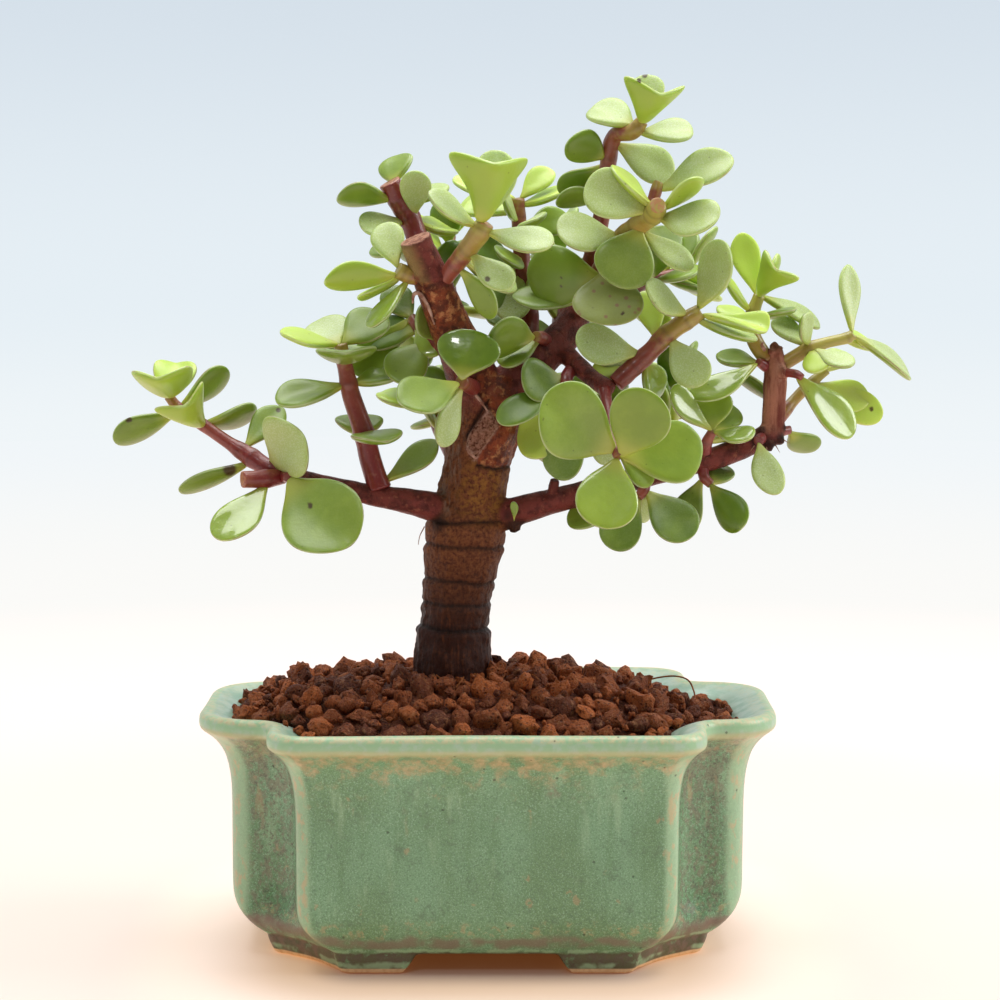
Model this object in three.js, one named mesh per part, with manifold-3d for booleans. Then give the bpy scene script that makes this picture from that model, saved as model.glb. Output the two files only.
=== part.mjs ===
// Dwarf jade bonsai (Portulacaria afra) growing in a glazed pot with indented corners.
// Millimetres, +Z up. The front of the tree faces -Y. The finished group stands on its four
// feet with its origin under the middle of the space that it takes up.

import * as THREE from 'three';
import { mergeVertices } from 'three/addons/utils/BufferGeometryUtils.js';
import Module from 'manifold-3d';

const wasm = await Module();
wasm.setup();

// ---- Driving dimensions --------------------------------------------------------------------

const GAP = 0.3; // between two pieces that touch
const RIM_LENGTH = 145; // the pot from side to side, over its lip
const RIM_DEPTH = 97.6; // and from front to back
const LIP_REACH = 7.8; // how far the lip stands out from the wall
const FOOT_HEIGHT = 4.8;
const RIM_HEIGHT = 59.3;
const WALL = 4.6;
const FLOOR = 6;

// Plan of the pot's wall: half its length and depth, and of the panels left between the indents.
const HALF_LENGTH = RIM_LENGTH / 2 - LIP_REACH;
const HALF_DEPTH = RIM_DEPTH / 2 - LIP_REACH;
const FRONT_PANEL = 46;
const SIDE_PANEL = 20;
const SIDE_CORNER = 7;
const FRONT_CORNER = 5;
const INDENT_CORNER = 9;

const DRAIN_RADIUS = 5.5;
const DRAIN_AT = 28; // from the middle of the pot
const SCREEN = { side: 16, thick: 1, bars: 3, bar: 1.8 };
const FOOT_GAP = { long: [17, 21], short: [6, 9] }; // half the gap between feet, above and below
const FOOT_WIDTH = 12;

const SOIL_EDGE = 54; // height of the soil at the wall
const SOIL_CROWN = 65.5; // and against the trunk
const GRANULE = { pitch: 12.4, least: 8, most: 12, seed: 7 };
const MOUND_RINGS = [1, 0.72, 0.42, 0.16]; // rings of the mound, as shares of the way out to the wall
const MOUND_SIDES = 18;

const TRUNK_AT = -8.7; // where the trunk leaves the soil, left of the pot's middle
const LEAF_THICKNESS = 2.2;
const LEAF_ROOT = 1.2; // how far a leaf is rooted below its foot
const ROOT_SHARE = 0.6; // place of a leaf's foot, from the middle of its stem to the outside
const CURL = 0.05; // rise of a leaf's tip, as a share of its length
const CUP = 0.16; // rise of a leaf's edges, as a share of half its width

// The crown is laid out on a front elevation. x and z are read where a point appears from this
// viewing place, and depth is how far the point stands behind the middle plane of the pot.
const VIEWING_PLACE = new THREE.Vector3(3.1, -650, 182);

// ---- Wood: [x, z, depth, radius] along each limb -------------------------------------------

const TRUNK = [
  [TRUNK_AT, 34, 0, 6], [TRUNK_AT, 48, 0, 9.4], [TRUNK_AT, 62, 0, 10.4], [-8.8, 72, 0, 9.8],
  [-8.6, 78.5, 0, 9.3], [-8.2, 80.5, 0, 8.6], [-7.4, 89, 0, 8.8], [-6.3, 97, 0, 9.7],
  [-5.4, 103.5, 0, 10.2], [-4.4, 110, 0, 8.4], [-2.6, 120, 0, 8.5], [-0.8, 129, 0, 9.2],
  [0.5, 137, 0, 9.6], [1, 143, 0, 6],
];
const LIMBS = [
  // front limb, sawn off above its shoots
  [[-1, 134, 0, 7.5], [-5.5, 146, -5, 6], [-10, 156, -9, 5], [-13.5, 165, -12, 4.6], [-18, 176, -15, 3.9]],
  // back limb, up to the fork behind the crown
  [[3, 135, 0, 7], [9, 143, 1, 5.6], [16, 149, 3, 4.6], [20.5, 154, 5, 4.2], [23.5, 161, 7, 3.2],
    [24.5, 166, 8, 2.6]],
  // thin twig that carries the low front cluster
  [[18, 149, 3, 2.6], [22.5, 144.5, -2, 2.4], [27, 140.8, -7, 2.2], [30.3, 138.6, -11, 2.4]],
  // low left branch
  [[-7, 107, 0, 5], [-13, 109, -4, 3.8], [-20, 110.6, -6, 3.2], [-29, 112.2, -7, 2.7],
    [-40, 114.6, -8, 2.3], [-49.5, 117, -8, 2.2]],
  // low right branch and its dried upright end
  [[-2, 105.5, 0, 5], [7, 108, -4, 3.6], [18, 111, -5, 3.2], [32, 114.8, -5, 2.9],
    [46, 118.6, -4, 2.8], [58, 121.8, -3, 2.9], [66, 125, -2, 3.4], [70.5, 127.5, -1, 4]],
  [[71, 125, -1, 3.4], [71.3, 131, 0, 3.1], [71.6, 139, 0, 3.1], [71.8, 148, 1, 2.9]],
  // stubs of pruned twigs
  [[15.5, 110.5, -6, 1.6], [16.4, 113.5, -8, 1.4], [16.8, 116, -9, 1.2]],
  [[72, 142.5, 0, 1.8], [74.5, 142.8, -2, 1.5]],
];

// ---- Leafy shoots --------------------------------------------------------------------------
// A stem is [x, z, depth] from its foot on the wood to its tip. A leaf is
// [node on the stem, x and z of the tip, length, width, face, roll]. A length under 0 leans the
// tip to the front. Face 0 looks up, 90 to the front, -90 to the back, and roll turns it further.

const SHOOTS = {
  left_tip: [
    {
      stem: [[-49.5, 117.2, -8], [-54, 118.5, -8], [-59, 121.5, -6], [-65, 125.5, -5], [-71, 129.7, -4],
        [-77, 133.8, -3], [-79.5, 137, -3]],
      radii: [2.2, 2.3, 2.5, 1.7, 1.6, 1.5, 1.3],
      leaves: [
        [6, -82.5, 143.5, -13, 14, 0], [6, -77.5, 144.6, 13, 12, 20],
        [5, -64.5, 143.6, 16, 11, -35], [5, -93, 124.6, 18, 11, -35],
        [4, -75, 134.4, -14, 13, 0, 20], [4, -57.3, 131.5, 15.5, 12, -35],
        [2, -51, 134, 17, 13, -50], [2, -77.3, 112.8, 20, 9.5, -30],
        [1, -46.5, 129, -15.5, 15.5, 70],
      ],
    },
    {
      stem: [[-51, 117, -8], [-55.5, 116.2, -12], [-61.5, 116, -15]],
      radii: [2.2, 2.4, 2.2],
      leaves: [[1, -68, 101, -21.5, 12, 55], [0, -31.5, 102.5, -25, 21, 78]],
    },
  ],
  left_upper: [
    {
      stem: [[-27, 113.5, -7], [-29.3, 121, -7], [-30.8, 127.5, -7], [-33.8, 136.5, -6], [-34.6, 140, -6],
        [-35.8, 146, -6], [-36.6, 150, -6]],
      radii: [2.5, 2.3, 2.2, 2.2, 1.9, 1.7, 1.5],
      leaves: [
        [6, -51.8, 151.5, -16, 10.5, 25], [6, -42.5, 155.5, 13, 11.5, 40], [6, -25.5, 157.2, 14, 12.5, 45],
        [5, -35.3, 146.8, -13, 14.5, 5], [5, -34, 149.4, 12, 12, 10],
        [4, -52.8, 134.8, -19, 11.5, 10], [4, -22.7, 142.5, 13, 10, 20],
        [2, -25, 125.6, -14, 13.5, 5], [2, -33.5, 131.3, 13, 12.5, 5],
        [0.2, -12.6, 125.8, 19, 9, 35],
      ],
    },
  ],
  front_low: [
    {
      stem: [[-3.5, 139, -9], [-6, 140, -16], [-8.5, 139.8, -21]],
      radii: [2.2, 1.9, 1.6],
      leaves: [
        [1, -4.3, 153.8, -15, 15.5, 80], [2, -22.6, 135.5, -16, 13, 60],
        [1.5, -12.8, 124.3, -17.5, 8.5, 60, -50],
      ],
    },
  ],
  middle_left: [
    {
      stem: [[-10.5, 149, -4], [-14, 151, -1], [-17, 154, 1], [-19, 156.5, 3]],
      radii: [2.4, 2, 1.7, 1.4],
      leaves: [
        [1, -23.3, 140, -16, 11.5, 60], [2, -11.5, 147.3, -10, 10, 75],
        [2, -29.5, 151.5, 14, 9.5, 30], [3, -28, 147, 14, 11, 55],
        [3, -24.5, 163.5, 12, 9, 50], [3, -14, 161.5, 11, 8.5, 40],
      ],
    },
  ],
  front_left: [
    {
      stem: [[-14.5, 166, -12], [-19.5, 167, -14], [-22.5, 168.3, -15]],
      radii: [2.2, 2, 1.8],
      leaves: [
        [2, -40.6, 165.3, -19, 10.5, -45], [1, -29, 153.2, -17, 9.5, 60, 40],
        [1.5, -31.2, 160.3, 14, 9, 15], [2, -25.5, 180, 14, 9, 60],
      ],
    },
  ],
  front_right: [
    {
      stem: [[-12, 164.5, -12], [-8, 169.5, -16], [-5, 173.3, -19], [-2, 177.3, -22], [-0.5, 180, -23]],
      radii: [2.3, 2.2, 2.4, 2.8, 2.2],
      leaves: [
        [4, 1.5, 195, -17, 19.5, -78], [4, 6, 197, 18.5, 18, 75],
        [3.4, -15.2, 186.8, -16, 10.5, 30], [3.4, 16.3, 174.6, -18.5, 11, 40],
        [2, 5.5, 163, -16, 9.5, 40], [1.4, 6.5, 163.2, 17, 9, 45],
        [1, 2, 156.5, -16, 8, 60, 50],
      ],
    },
  ],
  top_left: [
    {
      stem: [[-12.5, 157, -4], [-14.5, 166, 1], [-17, 175, 4], [-19.3, 181, 5], [-22, 185.7, 4],
        [-24.3, 190, 3]],
      radii: [2.4, 2.3, 2.2, 2.2, 2.2, 2.2],
      leaves: [
        [4.8, -22, 196.5, 12.5, 10, 50], [4.2, -37.3, 186, -15.5, 10, -45],
        [3, -18, 192.7, -13.5, 8.5, 75, 15], [3.6, -9.7, 188.5, 14, 9, 20],
        [3, -31.3, 177.5, -14, 10, 40], [2.8, -8.8, 177.3, 13.5, 11, 30],
        [2, -29, 172.3, 14, 9, 40],
      ],
    },
  ],
  behind: [
    {
      stem: [[10, 147, 4], [10.5, 157, 10], [9, 167, 12], [8, 177, 13], [7.5, 186, 12]],
      radii: [2.6, 2.3, 2.1, 2, 1.7],
      leaves: [
        [3.8, 20.3, 188, 14, 8.5, 15], [4, 16, 193, 12, 8, 40], [4, -8.8, 190.4, 17, 9, 30],
        [3.6, -6, 183.3, 15, 9, 35], [3, 19.8, 181.5, 14.5, 9.5, 60], [3, 14, 172.5, -12, 9, 30],
        [2, -4, 176, 16, 10, 35], [2, 5, 155.5, -14, 10, 50],
      ],
    },
  ],
  apex: [
    {
      stem: [[24.8, 167, 8], [27.5, 178, 6], [29.3, 188, 3], [30, 196, 1], [31.5, 201.3, -2],
        [35.8, 202.2, -6], [38.3, 205, -7]],
      radii: [2.4, 2.3, 2.2, 2.1, 2.1, 2.2, 1.6],
      leaves: [
        [6, 44.5, 212, -12, 13.5, -5], [6, 40.3, 215.4, 12.5, 9, 60],
        [5.3, 25.4, 207.8, 14, 10.5, 35], [5.3, 50.8, 201.2, -14, 10.5, 35],
        [3.6, 44.3, 190.2, -15.5, 11.5, 50], [3, 19.8, 199.2, -12.5, 10, -60],
        [2.7, 17.6, 187.3, 15.5, 9, -45], [1.8, 17, 185.6, -13, 9.5, -15],
      ],
    },
  ],
  whorl: [
    {
      stem: [[25.5, 164, 4.5], [31.5, 174.5, -3], [37, 179, -9], [41, 182, -15], [42.2, 184.3, -20]],
      radii: [2.3, 2.3, 2.6, 2.7, 2.2],
      leaves: [
        [3, 23.8, 188.6, -18, 14, 75], [3.3, 30.8, 194, 16, 9.5, 70, 60],
        [3.3, 53.3, 190.4, -14, 8.5, -10], [3, 57.5, 180.8, -18, 10.5, 50],
        [1.3, 16.9, 177.6, -17, 12, 50], [2.2, 32.3, 164.8, -17, 16, 70],
        [2, 51, 168.6, -17, 8.5, 50], [2, 47.8, 174, 13, 8.5, 55],
      ],
    },
    {
      stem: [[39.5, 181, -12], [41, 185.5, -11], [42.3, 190, -10]],
      radii: [1.8, 1.6, 1.4],
      leaves: [[1.6, 61, 195, 20, 12, 55]],
    },
  ],
  centre: [
    {
      stem: [[22, 157.5, 5], [26.5, 162, -1], [29, 166, -6]],
      radii: [2.4, 2, 1.7],
      leaves: [
        [2, 9.7, 167.6, 20, 14, -70], [1.5, 32, 151.8, -19, 17, 70],
        [0.7, 6, 161.3, -19, 9.5, 25],
      ],
    },
  ],
  centre_low: [
    {
      stem: [[15, 150.5, 2], [13.5, 151.5, -4], [12, 151.8, -8]],
      radii: [1.8, 1.6, 1.3],
      leaves: [[2, 0.2, 150.6, -14, 10, -40], [1, 3, 144.6, -13, 9.5, 40]],
    },
  ],
  clover: [
    {
      stem: [[29, 139.3, -10], [29.8, 135, -15], [30.8, 129, -20], [31.8, 124.6, -24], [33, 121.5, -26]],
      radii: [1.7, 1.4, 1.3, 1.3, 1.5],
      leaves: [
        [3.4, 13.8, 137, -24, 19.5, 80], [4, 40.8, 138.6, -19, 16, 80],
        [4, 53, 127.8, 21.5, 18, 75], [4, 27.6, 103.4, -19, 16, 75],
        [4, 40.8, 114.6, 10.5, 7, 60],
      ],
    },
  ],
  low_middle: [
    {
      stem: [[21, 143.8, -1], [19.5, 140.5, -7], [21, 134, -10], [24.5, 127.5, -11]],
      radii: [1.8, 1.7, 1.5, 1.3],
      leaves: [
        [0.9, 8.2, 139.5, -13.5, 11.5, 70], [1.4, 2.5, 130, -21, 9, 60],
        [3, 7.3, 128.3, 18.5, 14, 72], [3, 16.3, 116.6, 13.5, 11, 60],
        [3, 31, 120.6, 10, 7.5, 60],
      ],
    },
  ],
  right_middle: [
    {
      stem: [[31.8, 140, -10], [36.5, 144.3, -9], [41, 148.5, -9], [44.6, 152.3, -9], [49.3, 155.6, -9],
        [53, 158, -9]],
      radii: [2.4, 2.4, 2.4, 2.5, 2.4, 2],
      leaves: [
        [1.5, 21.8, 151.8, -18, 11, 40], [4.2, 38.8, 164.2, -15.5, 10.5, 45],
        [5, 59, 175.3, -19, 12.5, 78, -20], [5, 69.7, 152.8, -18, 9.5, -35],
        [4.6, 67, 150.3, 17, 9, 15], [3, 53.6, 139.4, -16, 10.5, 60],
        [2.5, 39, 163, 15, 8.5, 60], [1.4, 42.8, 136.6, 12, 8.5, 40],
      ],
    },
  ],
  right_upper: [
    {
      stem: [[70, 145.5, 1], [66.8, 150, 2], [65.3, 154.5, 3], [66, 158, 3], [67.5, 162, 3]],
      radii: [2.2, 2.2, 2, 1.8, 1.5],
      leaves: [
        [4, 71.5, 168.3, -13, 13, -25, -20], [4, 62.5, 177, 17, 8.5, 45], [4, 72.6, 171.5, 13, 9, -30],
        [4, 82.3, 153.6, 18.5, 8.5, 30], [3, 58.8, 165.8, -12, 7, 30], [2.6, 76.2, 158.6, -13, 8, 10],
        [2, 58, 159.3, 12, 8, 20],
      ],
    },
  ],
  right_outer: [
    {
      stem: [[73.4, 144.8, 1], [77, 147, 1], [80, 148.8, 1], [84.6, 150.3, 2], [89.4, 151.4, 3],
        [91, 152.4, 3]],
      radii: [1.9, 1.9, 1.8, 1.5, 1.5, 1.3],
      leaves: [
        [2, 71, 155.8, 12.5, 8, 25], [2, 78, 157.2, -10.5, 8, 40], [2, 83, 142.8, -10, 8, 60],
        [2.2, 91, 144, -14, 7.5, 40], [5, 88.2, 168.8, 18.5, 9, 55, 35],
        [5, 107, 143.4, 21, 9.5, 25], [5, 94, 147.5, -14, 12.5, 5],
      ],
    },
  ],
  right_wet: [
    {
      stem: [[74.4, 142.8, -3], [77, 142.4, -5], [78.5, 141.5, -6]],
      radii: [1.5, 1.4, 1.3],
      leaves: [[1, 90.6, 126.3, -20, 12, 40]],
    },
  ],
  right_back: [
    {
      stem: [[72.5, 131, 3], [76.5, 136, 7], [81, 140.5, 9], [84.5, 143.5, 10]],
      radii: [1.8, 1.5, 1.4, 1.2],
      leaves: [
        [2, 95.3, 135.5, 15.5, 10, 60], [1.7, 98.5, 131.6, 21, 10, 70],
        [0.7, 61.4, 142, 17, 9, -35], [3, 88, 148, 12, 8, 30],
      ],
    },
  ],
  right_inner: [
    {
      stem: [[69.5, 140.5, 2], [66, 142.3, 4], [62.5, 143.6, 6]],
      radii: [1.8, 1.5, 1.2],
      leaves: [[0.8, 57.4, 146.8, 13, 8.5, 30], [2, 51.2, 137.9, -14, 8.5, 15]],
    },
  ],
  right_collar: [
    {
      stem: [[68.5, 126.5, -4], [68, 124.3, -7]],
      radii: [2, 1.6],
      leaves: [[1, 71.6, 112, -16, 9.5, 60]],
    },
  ],
  right_side: [
    {
      stem: [[73, 128, 1], [75.5, 128.5, 3]],
      radii: [1.8, 1.4],
      leaves: [[1, 81.8, 122.8, 10, 9, -40]],
    },
  ],
  wet_cluster: [
    {
      stem: [[54.5, 122, -4], [54.8, 125.5, -6], [56.3, 128.3, -7]],
      radii: [1.6, 1.4, 1.2],
      leaves: [
        [2, 45.6, 139.2, -16, 8, 50], [2, 55.5, 138.7, 11.5, 10, 60], [2, 66.4, 126, -13.5, 8, 40],
        [2, 61.8, 133.8, 11, 8, 60], [1, 66, 129.2, 13.5, 7.5, 10],
      ],
    },
  ],
  low_front: [
    {
      stem: [[39.5, 116.2, -6], [39, 113.2, -9], [37.5, 111.5, -10]],
      radii: [1.7, 1.5, 1.2],
      leaves: [
        [1, 50.7, 100.4, -18, 12.5, 65], [2, 31, 98.2, -15, 11, 65], [2, 19.6, 105.6, 19.5, 10, 50],
        [2, 40, 106.5, 9, 7, 60],
      ],
    },
  ],
  low_right: [
    {
      stem: [[53.8, 119.3, -4], [54.2, 116.5, -6], [56, 114.8, -6]],
      radii: [1.6, 1.4, 1.2],
      leaves: [[1, 48.8, 102.6, 15.5, 9, 50], [2, 63.8, 103.6, -15, 10, -65], [2, 59.5, 119, 9, 7.5, 50]],
    },
  ],
};

// Shoots that fill the back of the crown, with leaves in crossed pairs. `pairs` counts them.
const BACK_SHOOTS = {
  back_left: { stem: [[-8, 121, 6], [-12, 129, 17], [-15, 139, 26], [-16, 147, 32]], pairs: 4, seed: 11 },
  back_limb: { stem: [[-7, 151, 1], [-9, 160, 14], [-10, 169, 23], [-9, 177, 30]], pairs: 4, seed: 23 },
  back_middle: { stem: [[17, 150, 7], [18, 156, 19], [18, 165, 28], [17, 174, 34]], pairs: 4, seed: 37 },
  back_low: { stem: [[2, 128, 7], [11, 129, 18], [20, 131, 28], [28, 134, 34]], pairs: 5, seed: 41 },
  back_right: { stem: [[24, 161, 9], [33, 163, 20], [42, 166, 27], [49, 168, 31]], pairs: 4, seed: 59 },
  back_branch: { stem: [[42, 118, 0], [44, 124, 12], [46, 132, 21], [47, 141, 27]], pairs: 4, seed: 67 },
};
const BACK_RADII = [2.4, 2, 1.7, 1.3];
const BACK_LEAF = { length: 13.5, width: 10.5, spread: 62 };

// ---- Small helpers -------------------------------------------------------------------------

const rad = THREE.MathUtils.degToRad;

// Numbers between 0 and 1 that come out the same on every run.
function dice(seed) {
  let state = seed;
  return () => {
    state = (state * 48271) % 2147483647;
    return state / 2147483647;
  };
}

// A closed three.js geometry as a solid that can be joined and cut.
function solid(geometry) {
  geometry.deleteAttribute('normal');
  geometry.deleteAttribute('uv');
  const merged = mergeVertices(geometry);
  return new wasm.Manifold(new wasm.Mesh({
    numProp: 3,
    vertProperties: merged.attributes.position.array,
    triVerts: new Uint32Array(merged.index.array),
  }));
}

const join = (solids) => solids.reduce((whole, next) => whole.add(next));

// A solid without the small pockets that are closed up inside it.
function withoutPockets(body) {
  return body.decompose().reduce((kept, next) => (next.volume() > kept.volume() ? next : kept));
}

// A named mesh of a finished solid.
function piece(name, body, color, roughness, metalness = 0) {
  const mesh = body.getMesh();
  const geometry = new THREE.BufferGeometry();
  geometry.setAttribute('position', new THREE.BufferAttribute(mesh.vertProperties, mesh.numProp));
  geometry.setIndex(new THREE.BufferAttribute(mesh.triVerts, 1));
  const material = new THREE.MeshStandardMaterial({ color, roughness, metalness });
  const result = new THREE.Mesh(geometry, material);
  result.name = name;
  return result;
}

// A cylinder whose rows are moved to where `place` says. Its hub is the middle of an end.
function moulded(columns, rows, place) {
  const geometry = new THREE.CylinderGeometry(1, 1, rows, columns, rows);
  const position = geometry.attributes.position;
  for (let i = 0; i < position.count; i += 1) {
    const [x, y, z] = [position.getX(i), position.getY(i), position.getZ(i)];
    const turn = Math.round((Math.atan2(x, z) / (2 * Math.PI)) * columns);
    const column = Math.hypot(x, z) < 0.5 ? null : (turn + columns) % columns;
    position.setXYZ(i, ...place(Math.round(y + rows / 2), column).toArray());
  }
  return geometry;
}

// The point that appears at x, z on the front elevation and stands at the given depth.
function sighted(x, z, depth) {
  const share = (depth - VIEWING_PLACE.y) / -VIEWING_PLACE.y;
  return new THREE.Vector3(x, 0, z).sub(VIEWING_PLACE).multiplyScalar(share).add(VIEWING_PLACE);
}

const smoothCurve = (points) => new THREE.CatmullRomCurve3(points, false, 'catmullrom', 0.5);

// A tapering round limb along a smooth curve, with one radius for each of its points.
function limb(points, radii, sides, rowsPerSpan, extra = 0) {
  const curve = smoothCurve(points);
  const spans = points.length - 1;
  const along = points[spans].clone().sub(points[0]).normalize();
  const reference = Math.abs(along.y) > 0.7 ? new THREE.Vector3(1, 0, 0) : new THREE.Vector3(0, 1, 0);
  return solid(moulded(sides, spans * rowsPerSpan, (row, column) => {
    const at = row / rowsPerSpan;
    const centre = curve.getPoint(at / spans);
    if (column === null) return centre;
    const tangent = curve.getTangent(at / spans);
    const across = reference.clone().cross(tangent).normalize();
    const over = tangent.clone().cross(across);
    const from = Math.min(Math.floor(at), spans - 1);
    const radius = THREE.MathUtils.lerp(radii[from], radii[from + 1], at - from) + extra;
    const angle = (column / sides) * 2 * Math.PI;
    return centre
      .addScaledVector(across, radius * Math.cos(angle))
      .addScaledVector(over, radius * Math.sin(angle));
  }));
}

// ---- Pot -----------------------------------------------------------------------------------

// Points of a rounded corner, turning from one heading to another, in degrees.
function corner(x, y, radius, from, to, steps) {
  return Array.from({ length: steps + 1 }, (_, i) => {
    const angle = rad(from + ((to - from) * i) / steps);
    return new THREE.Vector2(x + radius * Math.cos(angle), y + radius * Math.sin(angle));
  });
}

// Plan of the pot, anticlockwise, with its faces moved outwards by `outX` and `outY`.
function potPlan(outX, outY) {
  const [length, depth] = [HALF_LENGTH + outX, HALF_DEPTH + outY];
  const [front, side] = [FRONT_PANEL + outX, SIDE_PANEL + outY];
  const bulge = Math.max(SIDE_CORNER + outX, 2.5);
  const edge = Math.max(FRONT_CORNER + outX * 0.6, 2.5);
  const hollow = THREE.MathUtils.clamp(INDENT_CORNER - outX, 1.5, 12);
  const quarter = [
    ...corner(length - bulge, side - bulge, bulge, 0, 90, 2),
    ...corner(front + hollow, side + hollow, hollow, 270, 180, 2),
    ...corner(front - edge, depth - edge, edge, 0, 90, 2),
  ];
  const mirrored = (sx, sy) => {
    const points = quarter.map((p) => new THREE.Vector2(p.x * sx, p.y * sy));
    return sx * sy < 0 ? points.reverse() : points;
  };
  return [...quarter, ...mirrored(-1, 1), ...mirrored(-1, -1), ...mirrored(1, -1)];
}

// A solid through pot plans: each row is [height, outX, outY].
function loft(rows) {
  const plans = rows.map(([, outX, outY]) => potPlan(outX, outY));
  return solid(moulded(plans[0].length, rows.length - 1, (row, column) => {
    if (column === null) return new THREE.Vector3(0, 0, rows[row][0]);
    const p = plans[row][column];
    return new THREE.Vector3(p.x, p.y, rows[row][0]);
  }));
}

// A long wedge-sided bar that clears the gap between feet, wider at the table than above.
function footGap(half, turned) {
  const [above, below] = half;
  const shape = new THREE.Shape([
    new THREE.Vector2(-below, -1), new THREE.Vector2(below, -1),
    new THREE.Vector2(above, FOOT_HEIGHT), new THREE.Vector2(-above, FOOT_HEIGHT),
  ]);
  const bar = new THREE.ExtrudeGeometry(shape, { depth: RIM_LENGTH, bevelEnabled: false });
  bar.translate(0, 0, -RIM_LENGTH / 2).rotateX(Math.PI / 2);
  return solid(turned ? bar.rotateZ(Math.PI / 2) : bar);
}

function makeFeet() {
  const outer = loft([[0, -11.5, -5.8], [2, -10, -5], [FOOT_HEIGHT + 0.5, -9, -5]]);
  const [insetX, insetY] = [-9 - FOOT_WIDTH, -5 - FOOT_WIDTH];
  const inner = loft([[-1, insetX, insetY], [FOOT_HEIGHT + 1, insetX, insetY]]);
  return outer
    .subtract(inner)
    .subtract(footGap(FOOT_GAP.long, false))
    .subtract(footGap(FOOT_GAP.short, true));
}

function makePot() {
  const body = loft([
    [FOOT_HEIGHT, -9, -5.2], [FOOT_HEIGHT + 2, -6, -3.2], [FOOT_HEIGHT + 5, -2.6, -1.3],
    [FOOT_HEIGHT + 10, 0, 0], [42, 0, 0], [48, 1.2, 1.2], [52, 3.8, 3.8], [54.4, 6.9, 6.9],
    [55.8, LIP_REACH, LIP_REACH], [RIM_HEIGHT - 1, LIP_REACH, LIP_REACH], [RIM_HEIGHT, 6.6, 6.6],
  ]);
  const inside = loft([
    [FOOT_HEIGHT + FLOOR, -WALL - 4, -WALL - 4], [FOOT_HEIGHT + FLOOR + 3, -WALL, -WALL],
    [50, -WALL, -WALL], [55, -3, -3], [57.5, 0, 0], [RIM_HEIGHT + 0.4, 6, 6],
  ]);
  const drains = [-1, 1].map((side) => {
    const hole = new THREE.CylinderGeometry(DRAIN_RADIUS, DRAIN_RADIUS, 4 * FLOOR, 16);
    return solid(hole.rotateX(Math.PI / 2).translate(side * DRAIN_AT, 0, FOOT_HEIGHT));
  });
  return body.add(makeFeet()).subtract(inside).subtract(join(drains));
}

// A square of plastic mesh that keeps the soil from falling through a drain hole.
function makeScreen(side) {
  const { side: length, bar, thick, bars } = SCREEN;
  const strands = [];
  for (let i = 0; i < bars; i += 1) {
    const offset = (i / (bars - 1) - 0.5) * (length - bar);
    strands.push(solid(new THREE.BoxGeometry(length, bar, thick).translate(0, offset, 0)));
    strands.push(solid(new THREE.BoxGeometry(bar, length, thick).translate(offset, 0, 0)));
  }
  return join(strands).translate(side * DRAIN_AT, 0, FOOT_HEIGHT + FLOOR + GAP + thick / 2);
}

// ---- Soil ----------------------------------------------------------------------------------

// Height of the soil between its granules: a mound that rises from the wall to the trunk.
function soilHeight(x, y) {
  const reach = Math.hypot((x - TRUNK_AT) / (HALF_LENGTH + 8), y / HALF_DEPTH);
  return SOIL_EDGE + (SOIL_CROWN - SOIL_EDGE) * Math.cos((Math.min(reach, 1) * Math.PI) / 2) ** 1.3;
}

// One angular granule: a block with its corners knocked about and turned anyhow.
function granule(x, y, z, size, roll) {
  const shrink = 0.88;
  const knock = 0.42;
  const chunk = new THREE.BoxGeometry(size, size, size * 0.85);
  const position = chunk.attributes.position;
  const pushes = Array.from({ length: 8 }, () => new THREE.Vector3(roll(), roll(), roll()).subScalar(0.5));
  for (let i = 0; i < position.count; i += 1) {
    const which = (position.getX(i) > 0) + 2 * (position.getY(i) > 0) + 4 * (position.getZ(i) > 0);
    const point = new THREE.Vector3().fromBufferAttribute(position, i).multiplyScalar(shrink);
    position.setXYZ(i, ...point.addScaledVector(pushes[which], size * knock).toArray());
  }
  chunk.rotateX(roll() * Math.PI).rotateY(roll() * Math.PI).translate(x, y, z);
  return solid(chunk);
}

// Granules in staggered rows over the mound, as far as the wall of the pot lets them.
function makeGranules() {
  const { pitch, least, most, seed } = GRANULE;
  const rowPitch = pitch * 0.9;
  const columns = Math.floor(HALF_LENGTH / pitch);
  const rows = Math.floor(HALF_DEPTH / rowPitch);
  const roll = dice(seed);
  const granules = [];
  for (let i = -columns; i <= columns; i += 1) {
    for (let j = -rows; j <= rows; j += 1) {
      const x = (i + (j % 2 ? 0.5 : 0) + (roll() - 0.5) * 0.5) * pitch;
      const y = (j + (roll() - 0.5) * 0.5) * rowPitch;
      const size = least + (most - least) * roll();
      const inSide = Math.abs(x) < HALF_LENGTH - most && Math.abs(y) < SIDE_PANEL - most / 2;
      const inFront = Math.abs(x) < FRONT_PANEL - most / 2 && Math.abs(y) < HALF_DEPTH - most;
      if (inSide || inFront) granules.push(granule(x, y, soilHeight(x, y) - size * 0.1, size, roll));
    }
  }
  return granules;
}

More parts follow.
